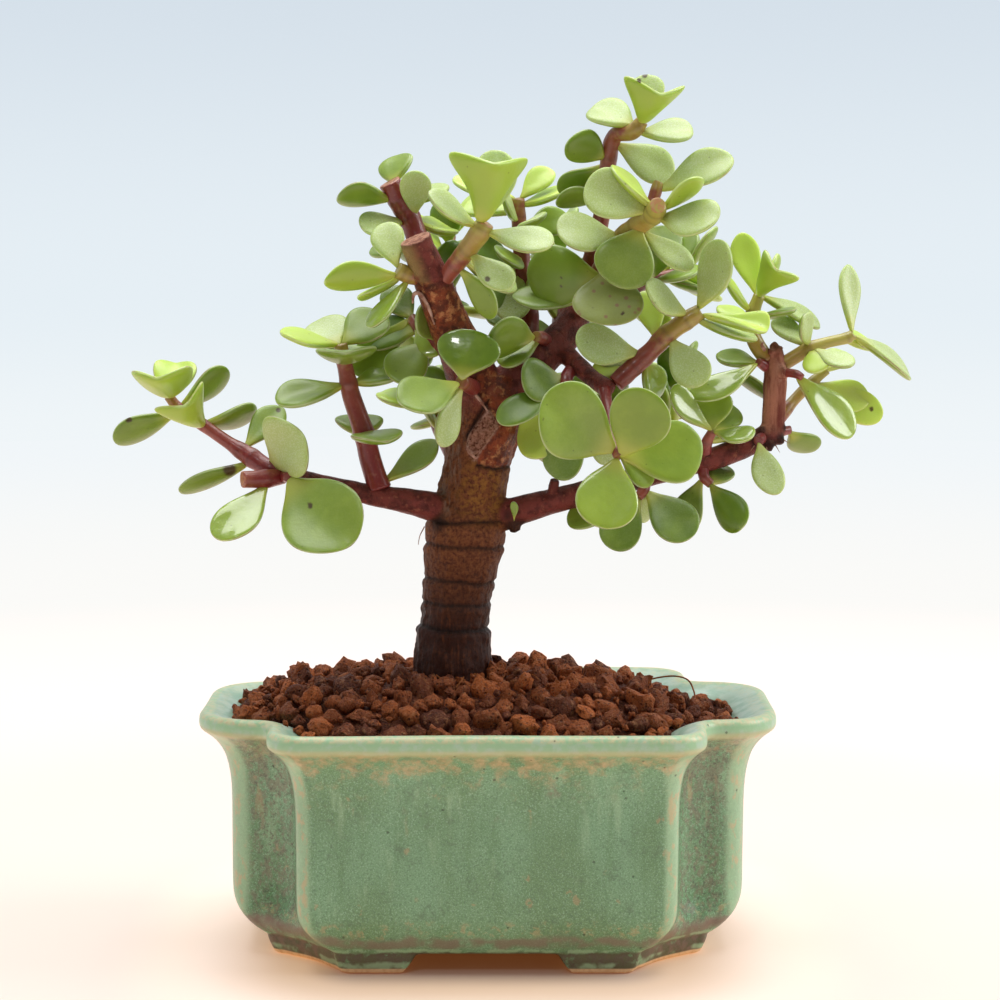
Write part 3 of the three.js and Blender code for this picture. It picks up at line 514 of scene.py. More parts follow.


# Each leaf's look paints its light: a lit leaf gets painted sheen, a shaded one painted shade, a fresh one
# painted light shining through.
SHOOTS: dict[str, list[Stem]] = {
    "left_tip": [
        Stem(
            [
                (-49.5, 117.2, -8), (-54, 118.5, -8), (-59, 121.5, -6), (-65, 125.5, -5), (-71, 129.7, -4),
                (-77, 133.8, -3), (-79.5, 137, -3),
            ],
            [2.2, 2.3, 2.5, 1.7, 1.6, 1.5, 1.3],
            [
                Leaf(6, -82.5, 141.2, -13, 17, 0, 0, FRESH, fold=0.55),
                Leaf(6, -77.5, 144.6, 13, 12, 20, 0, FRESH, fold=0.5), Leaf(5, -64.5, 143.6, 16, 11, -35),
                Leaf(5, -93, 124.6, 18, 11, -35), Leaf(4, -75, 133.4, -14, 18, 0, 40, FRESH, fold=0.75),
                Leaf(4, -57.3, 131.5, 15.5, 12, -35), Leaf(2.4, -51, 134, 17, 9, 60),
                Leaf(2, -77.3, 112.8, 20, 9.5, -30), Leaf(1, -46.5, 127.7, -15.5, 18, 70, 0, PALE),
            ],
        ),
        Stem(
            [(-51, 117, -8), (-55.5, 116.2, -12), (-61.5, 116, -15)],
            [2.2, 2.4, 2.2],
            [Leaf(1, -68, 101, -21.5, 12, 55, 0, WET)],
            young=-0.4, cut=True,
        ),
        Stem(
            [(-51, 117, -8), (-50.5, 116.8, -11.5), (-50, 116.6, -14)],
            [1.7, 1.5, 1.2],
            [Leaf(2, -34, 99, -26.5, 21, 78, blunt=1.0)],
            young=-0.4,
        ),
    ],
    "left_upper": [
        Stem(
            [
                (-27, 113.5, -7), (-29.3, 121, -7), (-30.8, 127.5, -7), (-33.8, 136.5, -6),
                (-34.6, 140, -6), (-35.8, 146, -6), (-36.6, 150, -6),
            ],
            [3.0, 2.9, 2.7, 2.5, 2.3, 2.0, 1.7],
            [
                Leaf(6, -51.8, 151.5, -16, 10.5, 25, 0, FRESH),
                Leaf(6, -42.5, 155.5, 13, 11.5, 40, 0, PALE), Leaf(6, -25.5, 157.2, 14, 12.5, 45),
                Leaf(5, -35.3, 146.8, -13, 15.5, 25), Leaf(5, -34, 149.4, 12, 12, 10, 0, PALE),
                Leaf(4, -52.8, 134.8, -19, 12.5, 30), Leaf(4, -22.7, 142.5, 13, 10, 20),
                Leaf(2, -25, 125.6, -14, 13.5, 20, fold=0.3), Leaf(2, -33.5, 131.3, 13, 12.5, 5),
                Leaf(0.2, -12.6, 125.8, 19, 9, 35),
            ],
            young=0.1,
        ),
    ],
    "front_low": [
        Stem(
            [(-3.5, 139, -9), (-5.5, 140, -16), (-6.5, 140.5, -21)],
            [2.2, 1.9, 1.6],
            [
                Leaf(2, -4.3, 153.8, 13.2, 15.5, 66, -6, GLOSSY, fold=-0.12, curl=-0.16),
                Leaf(2, -22.4, 134.6, -19.5, 13, 60), Leaf(1.5, -12.8, 124.3, -17.5, 8.5, 60, -50, PALE),
            ],
        ),
    ],
    "middle_left": [
        Stem(
            [(-10.5, 149, -4), (-14, 151, -1), (-17, 154, 1), (-19, 156.5, 3)],
            [2.4, 2, 1.7, 1.4],
            [
                Leaf(1, -23.3, 140, -16, 11.5, 60), Leaf(2, -11.5, 147.3, -10, 10, 75, 0, WET),
                Leaf(2, -29.5, 151.5, 14, 12, 50, 0, DEEP), Leaf(3, -32.5, 141.8, -19, 11.5, 55, fold=0.35),
                Leaf(3, -24.5, 163.5, 12, 9, 50, 0, DEEP), Leaf(0.6, -16.5, 159.5, -12.5, 9.5, 50),
            ],
        ),
    ],
    "front_left": [
        Stem(
            [(-14.5, 166, -12), (-19.5, 167, -14), (-22.5, 168.3, -15)],
            [2.3, 2.2, 2.0],
            [
                Leaf(2, -40.6, 165.3, -19, 10.5, -45, 0, FRESH, fold=0.5, blunt=0.8),
                Leaf(1, -29, 153.2, -17, 7.5, 60, 40, WET, fold=0.1),
                Leaf(1.5, -31.2, 160.3, 14, 9, 15, 0, FRESH), Leaf(2, -25.5, 180, 14, 9, 60, 0, PALE),
            ],
            young=0.55,
        ),
    ],
    "front_right": [
        Stem(
            [(-12, 164.5, -12), (-8, 169.5, -16), (-5, 173.3, -19), (-2, 177.3, -22), (-0.5, 180, -23)],
            [2.3, 2.2, 2.4, 2.8, 2.2],
            [
                Leaf(4, 1.5, 195, -17, 29, -25, 0, FRESH, fold=0.8),
                Leaf(4, 2.6, 197.6, 18.5, 11.5, 75, 0, PALE, fold=0.3),
                Leaf(3.4, -15.2, 186.8, -16, 10.5, 30, 0, PALE),
                Leaf(3.4, 16.3, 174.6, -18.5, 11, 40, 0, PALE), Leaf(2, 5.5, 163, -16, 9.5, 40, 0, PALE),
                Leaf(1.4, 6.5, 163.2, 17, 9, 45, 0, PALE), Leaf(1, 2, 156.5, -16, 8, 60, 50),
            ],
            young=0.6, cut=True,
        ),
    ],
    "top_left": [
        Stem(
            [
                (-12.5, 157, -4), (-14.5, 166, 1), (-17, 175, 4), (-19.3, 181, 5), (-22, 185.7, 4),
                (-24.3, 190, 3),
            ],
            [2.7, 2.8, 2.9, 2.9, 2.9, 2.8],
            [
                Leaf(4.8, -22, 196.5, 12.5, 10, -40), Leaf(4.2, -37.3, 186, -15.5, 10, -45),
                Leaf(3, -18, 192.7, -13.5, 8.5, 75, 15, PALE), Leaf(3.6, -9.7, 188.5, 14, 9, 20, 0, PALE),
                Leaf(3, -31.3, 177.5, -14, 10, 40, 0, PALE), Leaf(2.8, -8.8, 177.3, 13.5, 11, 30, 0, FRESH),
                Leaf(2, -29, 172.3, 14, 9, 40),
            ],
            young=-0.7, cut=True,
        ),
    ],
    "behind": [
        Stem(
            [(10, 147, 4), (10.5, 157, 10), (9, 167, 12), (8, 177, 13), (7.5, 186, 12)],
            [2.6, 2.3, 2.1, 2, 1.7],
            [
                Leaf(3.8, 20.3, 188, 14, 8.5, 15, 0, FRESH), Leaf(4, 16, 193, 12, 8, 40, 0, FRESH),
                Leaf(4, -8.8, 190.4, 17, 9, 30, 0, FRESH), Leaf(3.6, -6, 183.3, 15, 9, 35, 0, FRESH),
                Leaf(3, 19.8, 181.5, 14.5, 9.5, 60), Leaf(3, 14, 172.5, -12, 9, 30, 0, FRESH),
                Leaf(2, -4, 176, 16, 10, 35, 0, DEEP), Leaf(2, 5, 155.5, -14, 10, 50, 0, PALE),
                Leaf(1.2, -1, 166, -14, 10.5, 60, 0, DEEP), Leaf(3.2, 12.5, 180.5, -12, 9, 50, 0, PALE),
                Leaf(2.4, 3, 171, -12, 9.5, 55), Leaf(1.8, 15.5, 168, -13, 10, 60, 0, PALE),
                Leaf(3.4, 3.5, 186, -11, 8, 50, 0, PALE), Leaf(1.6, 19, 164, 12, 11, 60),
                Leaf(0.5, 17, 152.5, 11, 10, 60, 0, DEEP), Leaf(0.8, 1, 158.5, 12, 10, 50, 0, DEEP),
            ],
        ),
    ],
    "apex": [
        Stem(
            [
                (24.8, 167, 8), (27.5, 178, 6), (29.3, 188, 3), (30, 196, 1), (31.5, 201.3, -2),
                (35.8, 202.2, -6), (38.3, 205, -7),
            ],
            [2.4, 2.3, 2.2, 2.1, 2.1, 2.2, 1.6],
            [
                Leaf(6, 42.8, 209.8, -12, 22, -5, 0, FRESH, fold=0.78),
                Leaf(6, 40.6, 215.8, 12.5, 9, 60, 0, PALE), Leaf(5.3, 25.4, 207.8, 14, 11.5, 35, 0, PALE),
                Leaf(5.3, 50.8, 201.2, -14, 10.5, 35, 0, PALE),
                Leaf(3.6, 45.6, 190.6, -15.5, 11.5, 50, 0, PALE), Leaf(3, 19.8, 199.2, -12.5, 10, -60),
                Leaf(2.7, 17.6, 187.3, 15.5, 9, -45), Leaf(1.8, 17, 185.6, -13, 9.5, -35),
            ],
            young=0.2,
        ),
    ],
    "whorl": [
        Stem(
            [(25.5, 164, 4.5), (31.5, 174.5, -3), (37, 179, -9), (41, 182, -15), (42.2, 184.3, -20)],
            [2.3, 2.3, 2.6, 2.7, 2.2],
            [
                Leaf(3, 23.8, 188.6, -18, 14, 60, 0, PALE), Leaf(3.3, 30.8, 194, 16, 9.5, 70, 60, FRESH),
                Leaf(3.3, 53.3, 190.4, -14, 8.5, -10, 0, FRESH),
                Leaf(3, 57.5, 180.8, -18, 12.5, 58, 0, PALE), Leaf(1.3, 16.9, 177.6, -17, 13, 50, 0, PALE),
                Leaf(2.2, 32.3, 163.8, -17, 15, 70, fold=0.08), Leaf(2, 51, 168.6, -17, 8.5, 50, 0, PALE),
                Leaf(2, 47.8, 174, 13, 8.5, 55),
            ],
            young=0.7, cut=True,
        ),
        Stem(
            [(39.5, 181, -12), (41, 185.5, -11), (42.3, 190, -10)],
            [1.8, 1.6, 1.4],
            [Leaf(1.6, 61, 195, 20, 12, 55, 0, PALE, fold=0.35)],
            young=0.2,
        ),
    ],
    "centre": [
        Stem(
            [(22, 157.5, 5), (26.5, 162, -1), (29, 166, -6), (29.3, 168.5, -7)],
            [2.4, 2, 1.7, 1.4],
            [
                Leaf(2, 9.7, 167.6, 20, 16, -85, fold=0.1),
                Leaf(3, 31, 154.2, -16.5, 17, 86, 0, SCABBY, fold=0.08, blunt=1.2),
                Leaf(0.7, 6, 161.3, -19, 9.5, 40),
            ],
        ),
    ],
    "centre_low": [
        Stem(
            [(15, 150.5, 2), (13.5, 151.5, -4), (12, 151.8, -8)],
            [1.8, 1.6, 1.3],
            [Leaf(2, 0.2, 150.6, -14, 13, -55), Leaf(1, 3, 144.6, -13, 9.5, 40)],
        ),
    ],
    "clover": [
        Stem(
            [(29, 139.3, -10), (29.8, 135, -15), (30.8, 129, -20), (31.8, 124.6, -24), (33, 121.5, -26)],
            [1.7, 1.4, 1.3, 1.3, 1.5],
            [
                Leaf(3.4, 13.8, 137, -24, 19.5, 80), Leaf(4, 40.8, 138.6, -19, 16, 80),
                Leaf(4, 53, 124.8, 21.5, 16.5, 75), Leaf(4, 27.6, 103.4, -19, 16, 75, 0, WET),
                Leaf(4, 40.8, 114.6, 10.5, 7, 60),
            ],
        ),
    ],
    "low_middle": [
        Stem(
            [(21, 143.8, -1), (19.5, 140.5, -7), (21, 134, -10), (24.5, 127.5, -11)],
            [1.8, 1.7, 1.5, 1.3],
            [
                Leaf(0.9, 8.2, 139.5, -13.5, 11.5, 70, 0, DEEP), Leaf(1.4, 2.5, 130, -21, 9, 60, 0, DEEP),
                Leaf(3, 7.3, 128.3, 18.5, 16, 72, 0, FRESH), Leaf(3, 16.3, 116.6, 13.5, 11, 60, 0, DEEP),
                Leaf(3, 31, 120.6, 10, 7.5, 60, 0, PALE),
            ],
        ),
    ],
    "right_middle": [
        Stem(
            [
                (31.8, 140, -10), (36.5, 144.3, -9), (41, 148.5, -9), (44.6, 152.3, -9), (49.3, 155.6, -9),
                (53, 158, -9),
            ],
            [2.4, 2.4, 2.4, 2.5, 2.4, 2],
            [
                Leaf(1.5, 21.8, 151.8, -18, 11.5, 62, 0, PALE),
                Leaf(4.2, 38.8, 164.2, -15.5, 10.5, 45, 0, PALE),
                Leaf(5, 59, 175.3, -19, 13.5, 45, -20, PALE),
                Leaf(5, 69.7, 152.8, -18, 11, 30, 0, FRESH, fold=0.7),
                Leaf(4.6, 67, 150.3, 17, 9, 15, 0, PALE), Leaf(3, 53.6, 139.4, -16, 10.5, 60, 0, PALE),
                Leaf(2.5, 39, 163, 15, 8.5, 60, 0, FRESH), Leaf(0.5, 26, 143.3, 12, 9.5, 60, 0, FRESH),
                Leaf(0.9, 30, 147, 12, 8, 60, 0, PALE), Leaf(1.4, 42.8, 136.6, 12, 10.5, 40, 0, WET),
            ],
            young=0.45,
        ),
    ],
    "right_upper": [
        Stem(
            [(70, 145.5, 1), (66.8, 150, 2), (65.3, 154.5, 3), (66, 158, 3), (67.5, 162, 3)],
            [2.2, 2.2, 2, 1.8, 1.5],
            [
                Leaf(4, 71.5, 168.3, -13, 17, -25, -45, FRESH, fold=0.9),
                Leaf(4, 62.5, 177, 17, 8.5, 45, 0, FRESH), Leaf(4, 72.6, 171.5, 13, 9, -30, 0, FRESH),
                Leaf(4, 82.3, 153.6, 18.5, 8.5, 30, 0, PALE), Leaf(3, 58.8, 165.8, -12, 7, 30, 0, FRESH),
                Leaf(2.6, 76.2, 158.6, -13, 8, 10), Leaf(2, 58, 159.3, 12, 8, 20, 0, FRESH),
            ],
            young=1.0,
        ),
    ],
    "right_outer": [
        Stem(
            [
                (73.4, 144.8, 1), (77, 147, 1), (80, 148.8, 1), (84.6, 150.3, 2), (89.4, 151.4, 3),
                (91, 152.4, 3),
            ],
            [1.9, 1.9, 1.8, 1.5, 1.5, 1.3],
            [
                Leaf(2, 71, 155.8, 12.5, 8, 25, 0, PALE), Leaf(2, 78, 157.2, -10.5, 8, 40, 0, PALE),
                Leaf(2, 83, 142.8, -10, 8, 60, 0, FRESH), Leaf(2.2, 91, 144, -14, 7.5, 40, 0, PALE),
                Leaf(5, 88.2, 168.8, 18.5, 7.5, 55, 35, PALE, curl=0.1),
                Leaf(5, 107, 143.4, 21, 10.5, 25, 0, PALE, curl=-0.12),
                Leaf(4, 96, 149.5, 12.5, 9, 40, 0, FRESH),
            ],
            young=1.0,
        ),
    ],
    "right_wet": [
        Stem(
            [(74.4, 142.8, -3), (77, 142.4, -5), (78.5, 141.5, -6)],
            [1.2, 1.1, 0.9],
            [Leaf(1, 90.6, 126.3, -20, 12, 40, 0, WET)],
            young=-0.4,
        ),
    ],
    "right_back": [
        Stem(
            [(72.5, 131, 3), (76.5, 136, 7), (81, 140.5, 9), (84.5, 143.5, 10)],
            [1.8, 1.5, 1.4, 1.2],
            [
                Leaf(2, 95.3, 135.5, 15.5, 10, 60, 0, FRESH), Leaf(1.7, 98.5, 131.6, 21, 10, 70, 0, FRESH),
                Leaf(0.7, 61.4, 142, 17, 9, -35, 0, DEEP), Leaf(3, 88, 148, 12, 8, 30, 0, PALE),
            ],
            young=0.8,
        ),
    ],
    "right_inner": [
        Stem(
            [(69.5, 144, 0), (68.2, 145, -1), (67.2, 145.4, -2)],
            [1.5, 1.3, 1.0],
            [Leaf(1, 57.4, 146.8, 13, 8.5, 30), Leaf(2, 50.6, 136.6, -20, 9, 35, 0, WET, curl=-0.1)],
            young=-0.3,
        ),
    ],
    "right_collar": [
        Stem(
            [(68.5, 126.5, -4), (67.4, 125.6, -6.5)],
            [1.6, 1.3],
            [Leaf(1, 72.2, 111.6, -15.5, 8, 60, 0, PALE, blunt=1.0)],
            young=-0.6,
        ),
    ],
    "right_side": [
        Stem(
            [(73, 128, 1), (75.5, 128.5, 3)],
            [1.4, 1.1],
            [Leaf(1, 81.8, 122.8, 11.5, 9, -40)],
            young=-0.4,
        ),
    ],
    "wet_cluster": [
        Stem(
            [(54.5, 122, -4), (54.8, 125.5, -6), (56.3, 128.3, -7)],
            [1.6, 1.4, 1.2],
            [
                Leaf(2, 45.6, 139.2, -16, 8, 50, 0, WET), Leaf(2, 55.5, 138.7, 11.5, 10, 60, 0, WET),
                Leaf(2, 66.4, 126, -13.5, 8, 40, 0, WET), Leaf(2, 61.8, 133.8, 11, 8, 60),
                Leaf(1, 66, 129.2, 13.5, 7.5, 10, 0, WET),
            ],
        ),
    ],
    "low_front": [
        Stem(
            [(39.5, 116.2, -6), (39, 113.2, -9), (37.5, 111.5, -10)],
            [1.7, 1.5, 1.2],
            [
                Leaf(1, 50.7, 100.4, -18, 12.5, 65, 0, DEEP), Leaf(2, 31, 98.2, -15, 11, 65, 0, DEEP),
                Leaf(2, 19.6, 105.6, 19.5, 10, 50), Leaf(2, 40, 106.5, 9, 7, 60, 0, PALE),
            ],
        ),
    ],
    "low_right": [
        Stem(
            [(53.8, 119.3, -4), (54.2, 116.5, -6), (56, 114.8, -6)],
            [1.6, 1.4, 1.2],
            [
                Leaf(1, 48.8, 102.6, 15.5, 9, 50, 0, DEEP), Leaf(2, 63.8, 103.6, -15, 10, -65, 0, DEEP),
                Leaf(2, 59.5, 119, 9, 7.5, 50, 0, DEEP),
            ],
        ),
    ],
}


@dataclass(frozen=True)
class BackShoot:
    """A shoot at the back, with leaves in crossed pairs up its stem."""

    points: list[Row]
    pairs: int
    seed: int


BACK_SHOOTS = {
    "back_left": BackShoot([(-8, 121, 6), (-12, 129, 17), (-15, 139, 26), (-16, 147, 32)], 4, 11),
    "back_limb": BackShoot([(-7, 151, 1), (-9, 160, 14), (-10, 169, 23), (-9, 177, 30)], 4, 23),
    "back_middle": BackShoot([(17, 150, 7), (18, 156, 19), (18, 165, 28), (17, 174, 34)], 4, 37),
    "back_low": BackShoot([(2, 128, 7), (11, 129, 18), (20, 131, 28), (28, 134, 34)], 5, 41),
    "back_right": BackShoot([(24, 161, 9), (33, 163, 20), (42, 166, 27), (49, 168, 31)], 4, 59),
    "back_branch": BackShoot([(42, 118, 0), (44, 124, 12), (46, 132, 21), (47, 141, 27)], 4, 67),
}

WoodLine = list[Mark]

TRUNK: WoodLine = [
    (-8.7, 34, 0, 6), (-8.7, 48, 0, 9.4), (-8.7, 62, 0, 10.4), (-8.8, 72, 0, 9.8), (-8.6, 78.5, 0, 9.3),
    (-8.2, 80.5, 0, 8.6), (-7.4, 89, 0, 8.8), (-6.3, 97, 0, 9.7), (-5.4, 103.5, 0, 10.2),
    (-4.4, 110, 0, 8.4), (-2.6, 120, 0, 8.5), (-0.8, 129, 0, 9.2), (0.5, 137, 0, 9.6), (1, 143, 0, 6),
]
FRONT_LIMB: WoodLine = [
    (-1, 134, 0, 7.5), (-5.5, 146, -5, 6), (-10, 156, -9, 5), (-13.5, 165, -12, 4.6), (-18, 176, -15, 3.9)
]
LIMBS: list[WoodLine] = [
    [
        (3, 135, 0, 7), (9, 143, 1, 5.6), (16, 149, 3, 4.6), (20.5, 154, 5, 4.2), (23.5, 161, 7, 3.2),
        (24.5, 166, 8, 2.6),
    ],
    [(18, 149, 3, 2.6), (22.5, 144.5, -2, 2.4), (27, 140.8, -7, 2.2), (30.3, 138.6, -11, 2.4)],
    [
        (-7, 107, 0, 5), (-13, 109, -4, 3.8), (-20, 110.6, -6, 3.2), (-29, 112.2, -7, 2.7),
        (-40, 114.6, -8, 2.3), (-49.5, 117, -8, 2.2),
    ],
    [
        (-2, 105.5, 0, 5), (7, 108, -4, 3.6), (18, 111, -5, 3.2), (32, 114.8, -5, 2.9),
        (46, 118.6, -4, 2.8), (58, 121.8, -3, 2.9), (66, 125, -2, 2.8), (70.5, 127.5, -1, 3),
    ],
    [
        (71, 125, -1, 2.9), (71.3, 131, 0, 2.9), (71.6, 139, 0, 3.0), (71.7, 144.5, 1, 2.9),
        (71.7, 148.8, 1, 1.8),
    ],
    [(15.5, 110.5, -6, 1.6), (16.4, 113.5, -8, 1.4), (16.8, 116, -9, 1.2)],
    [(72, 142.5, 0, 1.8), (74.5, 142.8, -2, 1.5)],
]


def wood_route(line: WoodLine) -> Route:
    """The middle line of a limb."""
    return Route(tuple(sighted(x, z, depth) for x, z, depth, _ in line), tuple(row[3] for row in line))


# ---- Finishes ------------------------------------------------------------------------------


class Mixer:
    """A procedural material in the making: its nodes, wired by short calls."""

    def __init__(self, name: str, **constants: object) -> None:
        """Starts a material with constants on its shader, named with _ for a space."""
        self.material = bpy.data.materials.new(name)
        self.material.use_nodes = True
        self.tree = self.material.node_tree
        self.shader = self.tree.nodes["Principled BSDF"]
        for socket, value in constants.items():
            self.shader.inputs[socket.replace("_", " ")].default_value = value
        self.here = self.tree.nodes.new("ShaderNodeTexCoord").outputs["Object"]
        self.relief: Socket | None = None
        self.colour: Socket | None = None

    def wire(self, node: bpy.types.Node, socket: int | str, value: object) -> None:
        """Feeds a value or another node's output to a socket."""
        if isinstance(value, Socket):
            self.tree.links.new(value, node.inputs[socket])
        else:
            node.inputs[socket].default_value = value

    def mask(self, name: str) -> Socket:
        """A mask painted on the vertices."""
        node = self.tree.nodes.new("ShaderNodeAttribute")
        node.attribute_name = name
        return node.outputs["Fac"]

    def stretched(self, x: float, y: float, z: float) -> Socket:
        """The object's own coordinates, stretched along its axes."""
        node = self.tree.nodes.new("ShaderNodeMapping")
        node.inputs["Scale"].default_value = (x, y, z)
        self.wire(node, "Vector", self.here)
        return node.outputs["Vector"]

    def noise(self, pitch: float, detail: float = 2.0, rough: float = 0.5, at: object = None) -> Socket:
        """Cloudy noise whose lumps measure about `pitch` millimetres.

        Args:
            pitch: Size of the lumps.
            detail: Finer layers.
            rough: Strength of the finer layers.
            at: Coordinates, if not the object's own.

        Returns:
            A value between 0 and 1.
        """
        node = self.tree.nodes.new("ShaderNodeTexNoise")
        self.wire(node, "Vector", at or self.here)
        self.wire(node, "Scale", 1 / (pitch * MM))
        self.wire(node, "Detail", detail)
        self.wire(node, "Roughness", rough)
        return node.outputs["Fac"]

    def cells(self, pitch: float, at: object = None) -> Socket:
        """Distance from the middles of cells `pitch` millimetres apart."""
        node = self.tree.nodes.new("ShaderNodeTexVoronoi")
        self.wire(node, "Vector", at or self.here)
        self.wire(node, "Scale", 1 / (pitch * MM))
        return node.outputs["Distance"]

    def height(self) -> Socket:
        """The height above the table, in millimetres."""
        node = self.tree.nodes.new("ShaderNodeSeparateXYZ")
        self.wire(node, 0, self.here)
        return self.sum(node.outputs["Z"], 1000.0, "MULTIPLY")

    def wavy(self, pitch: float, detail: float, wave: float) -> Socket:
        """The height above the table, its levels waved by `wave` millimetres in all."""
        return self.sum(self.height(), self.times(self.sum(self.noise(pitch, detail), -0.5), wave))

    def reach(self, half_x: float, half_y: float) -> Socket:
        """Millimetres outside an upright block round the pot's middle.

        Args:
            half_x: Half its length, in millimetres.
            half_y: Half its depth.

        Returns:
            The distance.
        """
        spot = self.tree.nodes.new("ShaderNodeVectorMath")
        self.wire(spot, 0, self.here)
        self.wire(spot, 1, -MIDDLE)
        last = spot.outputs[0]
        for kind, with_what in (
            ("ABSOLUTE", None), ("MULTIPLY", (1000.0, 1000.0, 0.0)), ("SUBTRACT", (half_x, half_y, 0.0)),
            ("MAXIMUM", (0.0, 0.0, 0.0)), ("LENGTH", None),
        ):
            node = self.tree.nodes.new("ShaderNodeVectorMath")
            node.operation = kind
            self.wire(node, 0, last)
            if with_what:
                self.wire(node, 1, with_what)
            last = node.outputs["Value" if kind == "LENGTH" else "Vector"]
        return last

    def sum(self, a: object, b: object = 0.0, kind: str = "ADD", clamp: bool = False) -> Socket:
        """Arithmetic on two values.

        Args:
            a: First value.
            b: Second value.
            kind: Which operation.
            clamp: Whether it stays within 0 and 1.

        Returns:
            The result.
        """
        node = self.tree.nodes.new("ShaderNodeMath")
        node.operation = kind
        node.use_clamp = clamp
        self.wire(node, 0, a)
        self.wire(node, 1, b)
        return node.outputs[0]

    def times(self, *factors: object) -> Socket:
        """The product of some values."""
        total = factors[0]
        for factor in factors[1:]:
            total = self.sum(total, factor, "MULTIPLY")
        return total

    def step(self, value: object, low: float, high: float, strength: float = 1.0) -> Socket:
        """A soft step from 0 at `low` to `strength` at `high`.

        Args:
            value: What is judged.
            low: Where it starts.
            high: Where it is full, also below `low`.
            strength: Its full value.

        Returns:
            The step.
        """
        node = self.tree.nodes.new("ShaderNodeMapRange")
        node.interpolation_type = "SMOOTHSTEP"
        for socket, number in zip(
            ("Value", "From Min", "From Max", "To Min", "To Max"), (value, low, high, 0.0, strength)
        ):
            self.wire(node, socket, number)
        return node.outputs[0]

    def band(self, value: object, middle: float, half: float, strength: float = 1.0) -> Socket:
        """A soft band round a middle value."""
        away = self.sum(self.sum(value, middle, "SUBTRACT"), 0.0, "ABSOLUTE")
        return self.step(away, half, half * 0.25, strength)

    def mix(self, share: object, under: object, over: object) -> Socket:
        """Lays one colour over another.

        Args:
            share: How far the upper colour covers.
            under: Lower colour.
            over: Upper colour.

        Returns:
            The colour.
        """
        node = self.tree.nodes.new("ShaderNodeMix")
        node.data_type = "RGBA"
        self.wire(node, 0, share)
        self.wire(node, 6, under)
        self.wire(node, 7, over)
        return node.outputs[2]

    def lay(self, paint: object, *shares: object) -> None:
        """Lays a paint over the colour so far, where all its shares meet."""
        self.colour = self.mix(self.times(*shares), self.colour, paint)

    def blend(self, share: object, under: float, over: float) -> Socket:
        """Passes from one number to another.

        Args:
            share: How far it has passed.
            under: First number.
            over: Last number.

        Returns:
            The number.
        """
        node = self.tree.nodes.new("ShaderNodeMix")
        self.wire(node, 0, share)
        self.wire(node, 2, under)
        self.wire(node, 3, over)
        return node.outputs[0]

    def bump(self, height: object, depth: float) -> None:
        """Adds relief, `depth` millimetres from its lowest to its highest."""
        node = self.tree.nodes.new("ShaderNodeBump")
        self.wire(node, "Height", height)
        self.wire(node, "Distance", depth * MM)
        if self.relief is not None:
            self.wire(node, "Normal", self.relief)
        self.relief = node.outputs["Normal"]

    def done(self, colour: object, roughness: object | None = None) -> Material:
        """Wires colour, roughness and relief to the shader and hands the material over.

        Args:
            colour: Base colour.
            roughness: Roughness, where it varies.

        Returns:
            The material.
        """
        self.wire(self.shader, "Base Color", colour)
        if roughness is not None:
            self.wire(self.shader, "Roughness", roughness)
        if self.relief is not None:
            self.wire(self.shader, "Normal", self.relief)
        return self.material


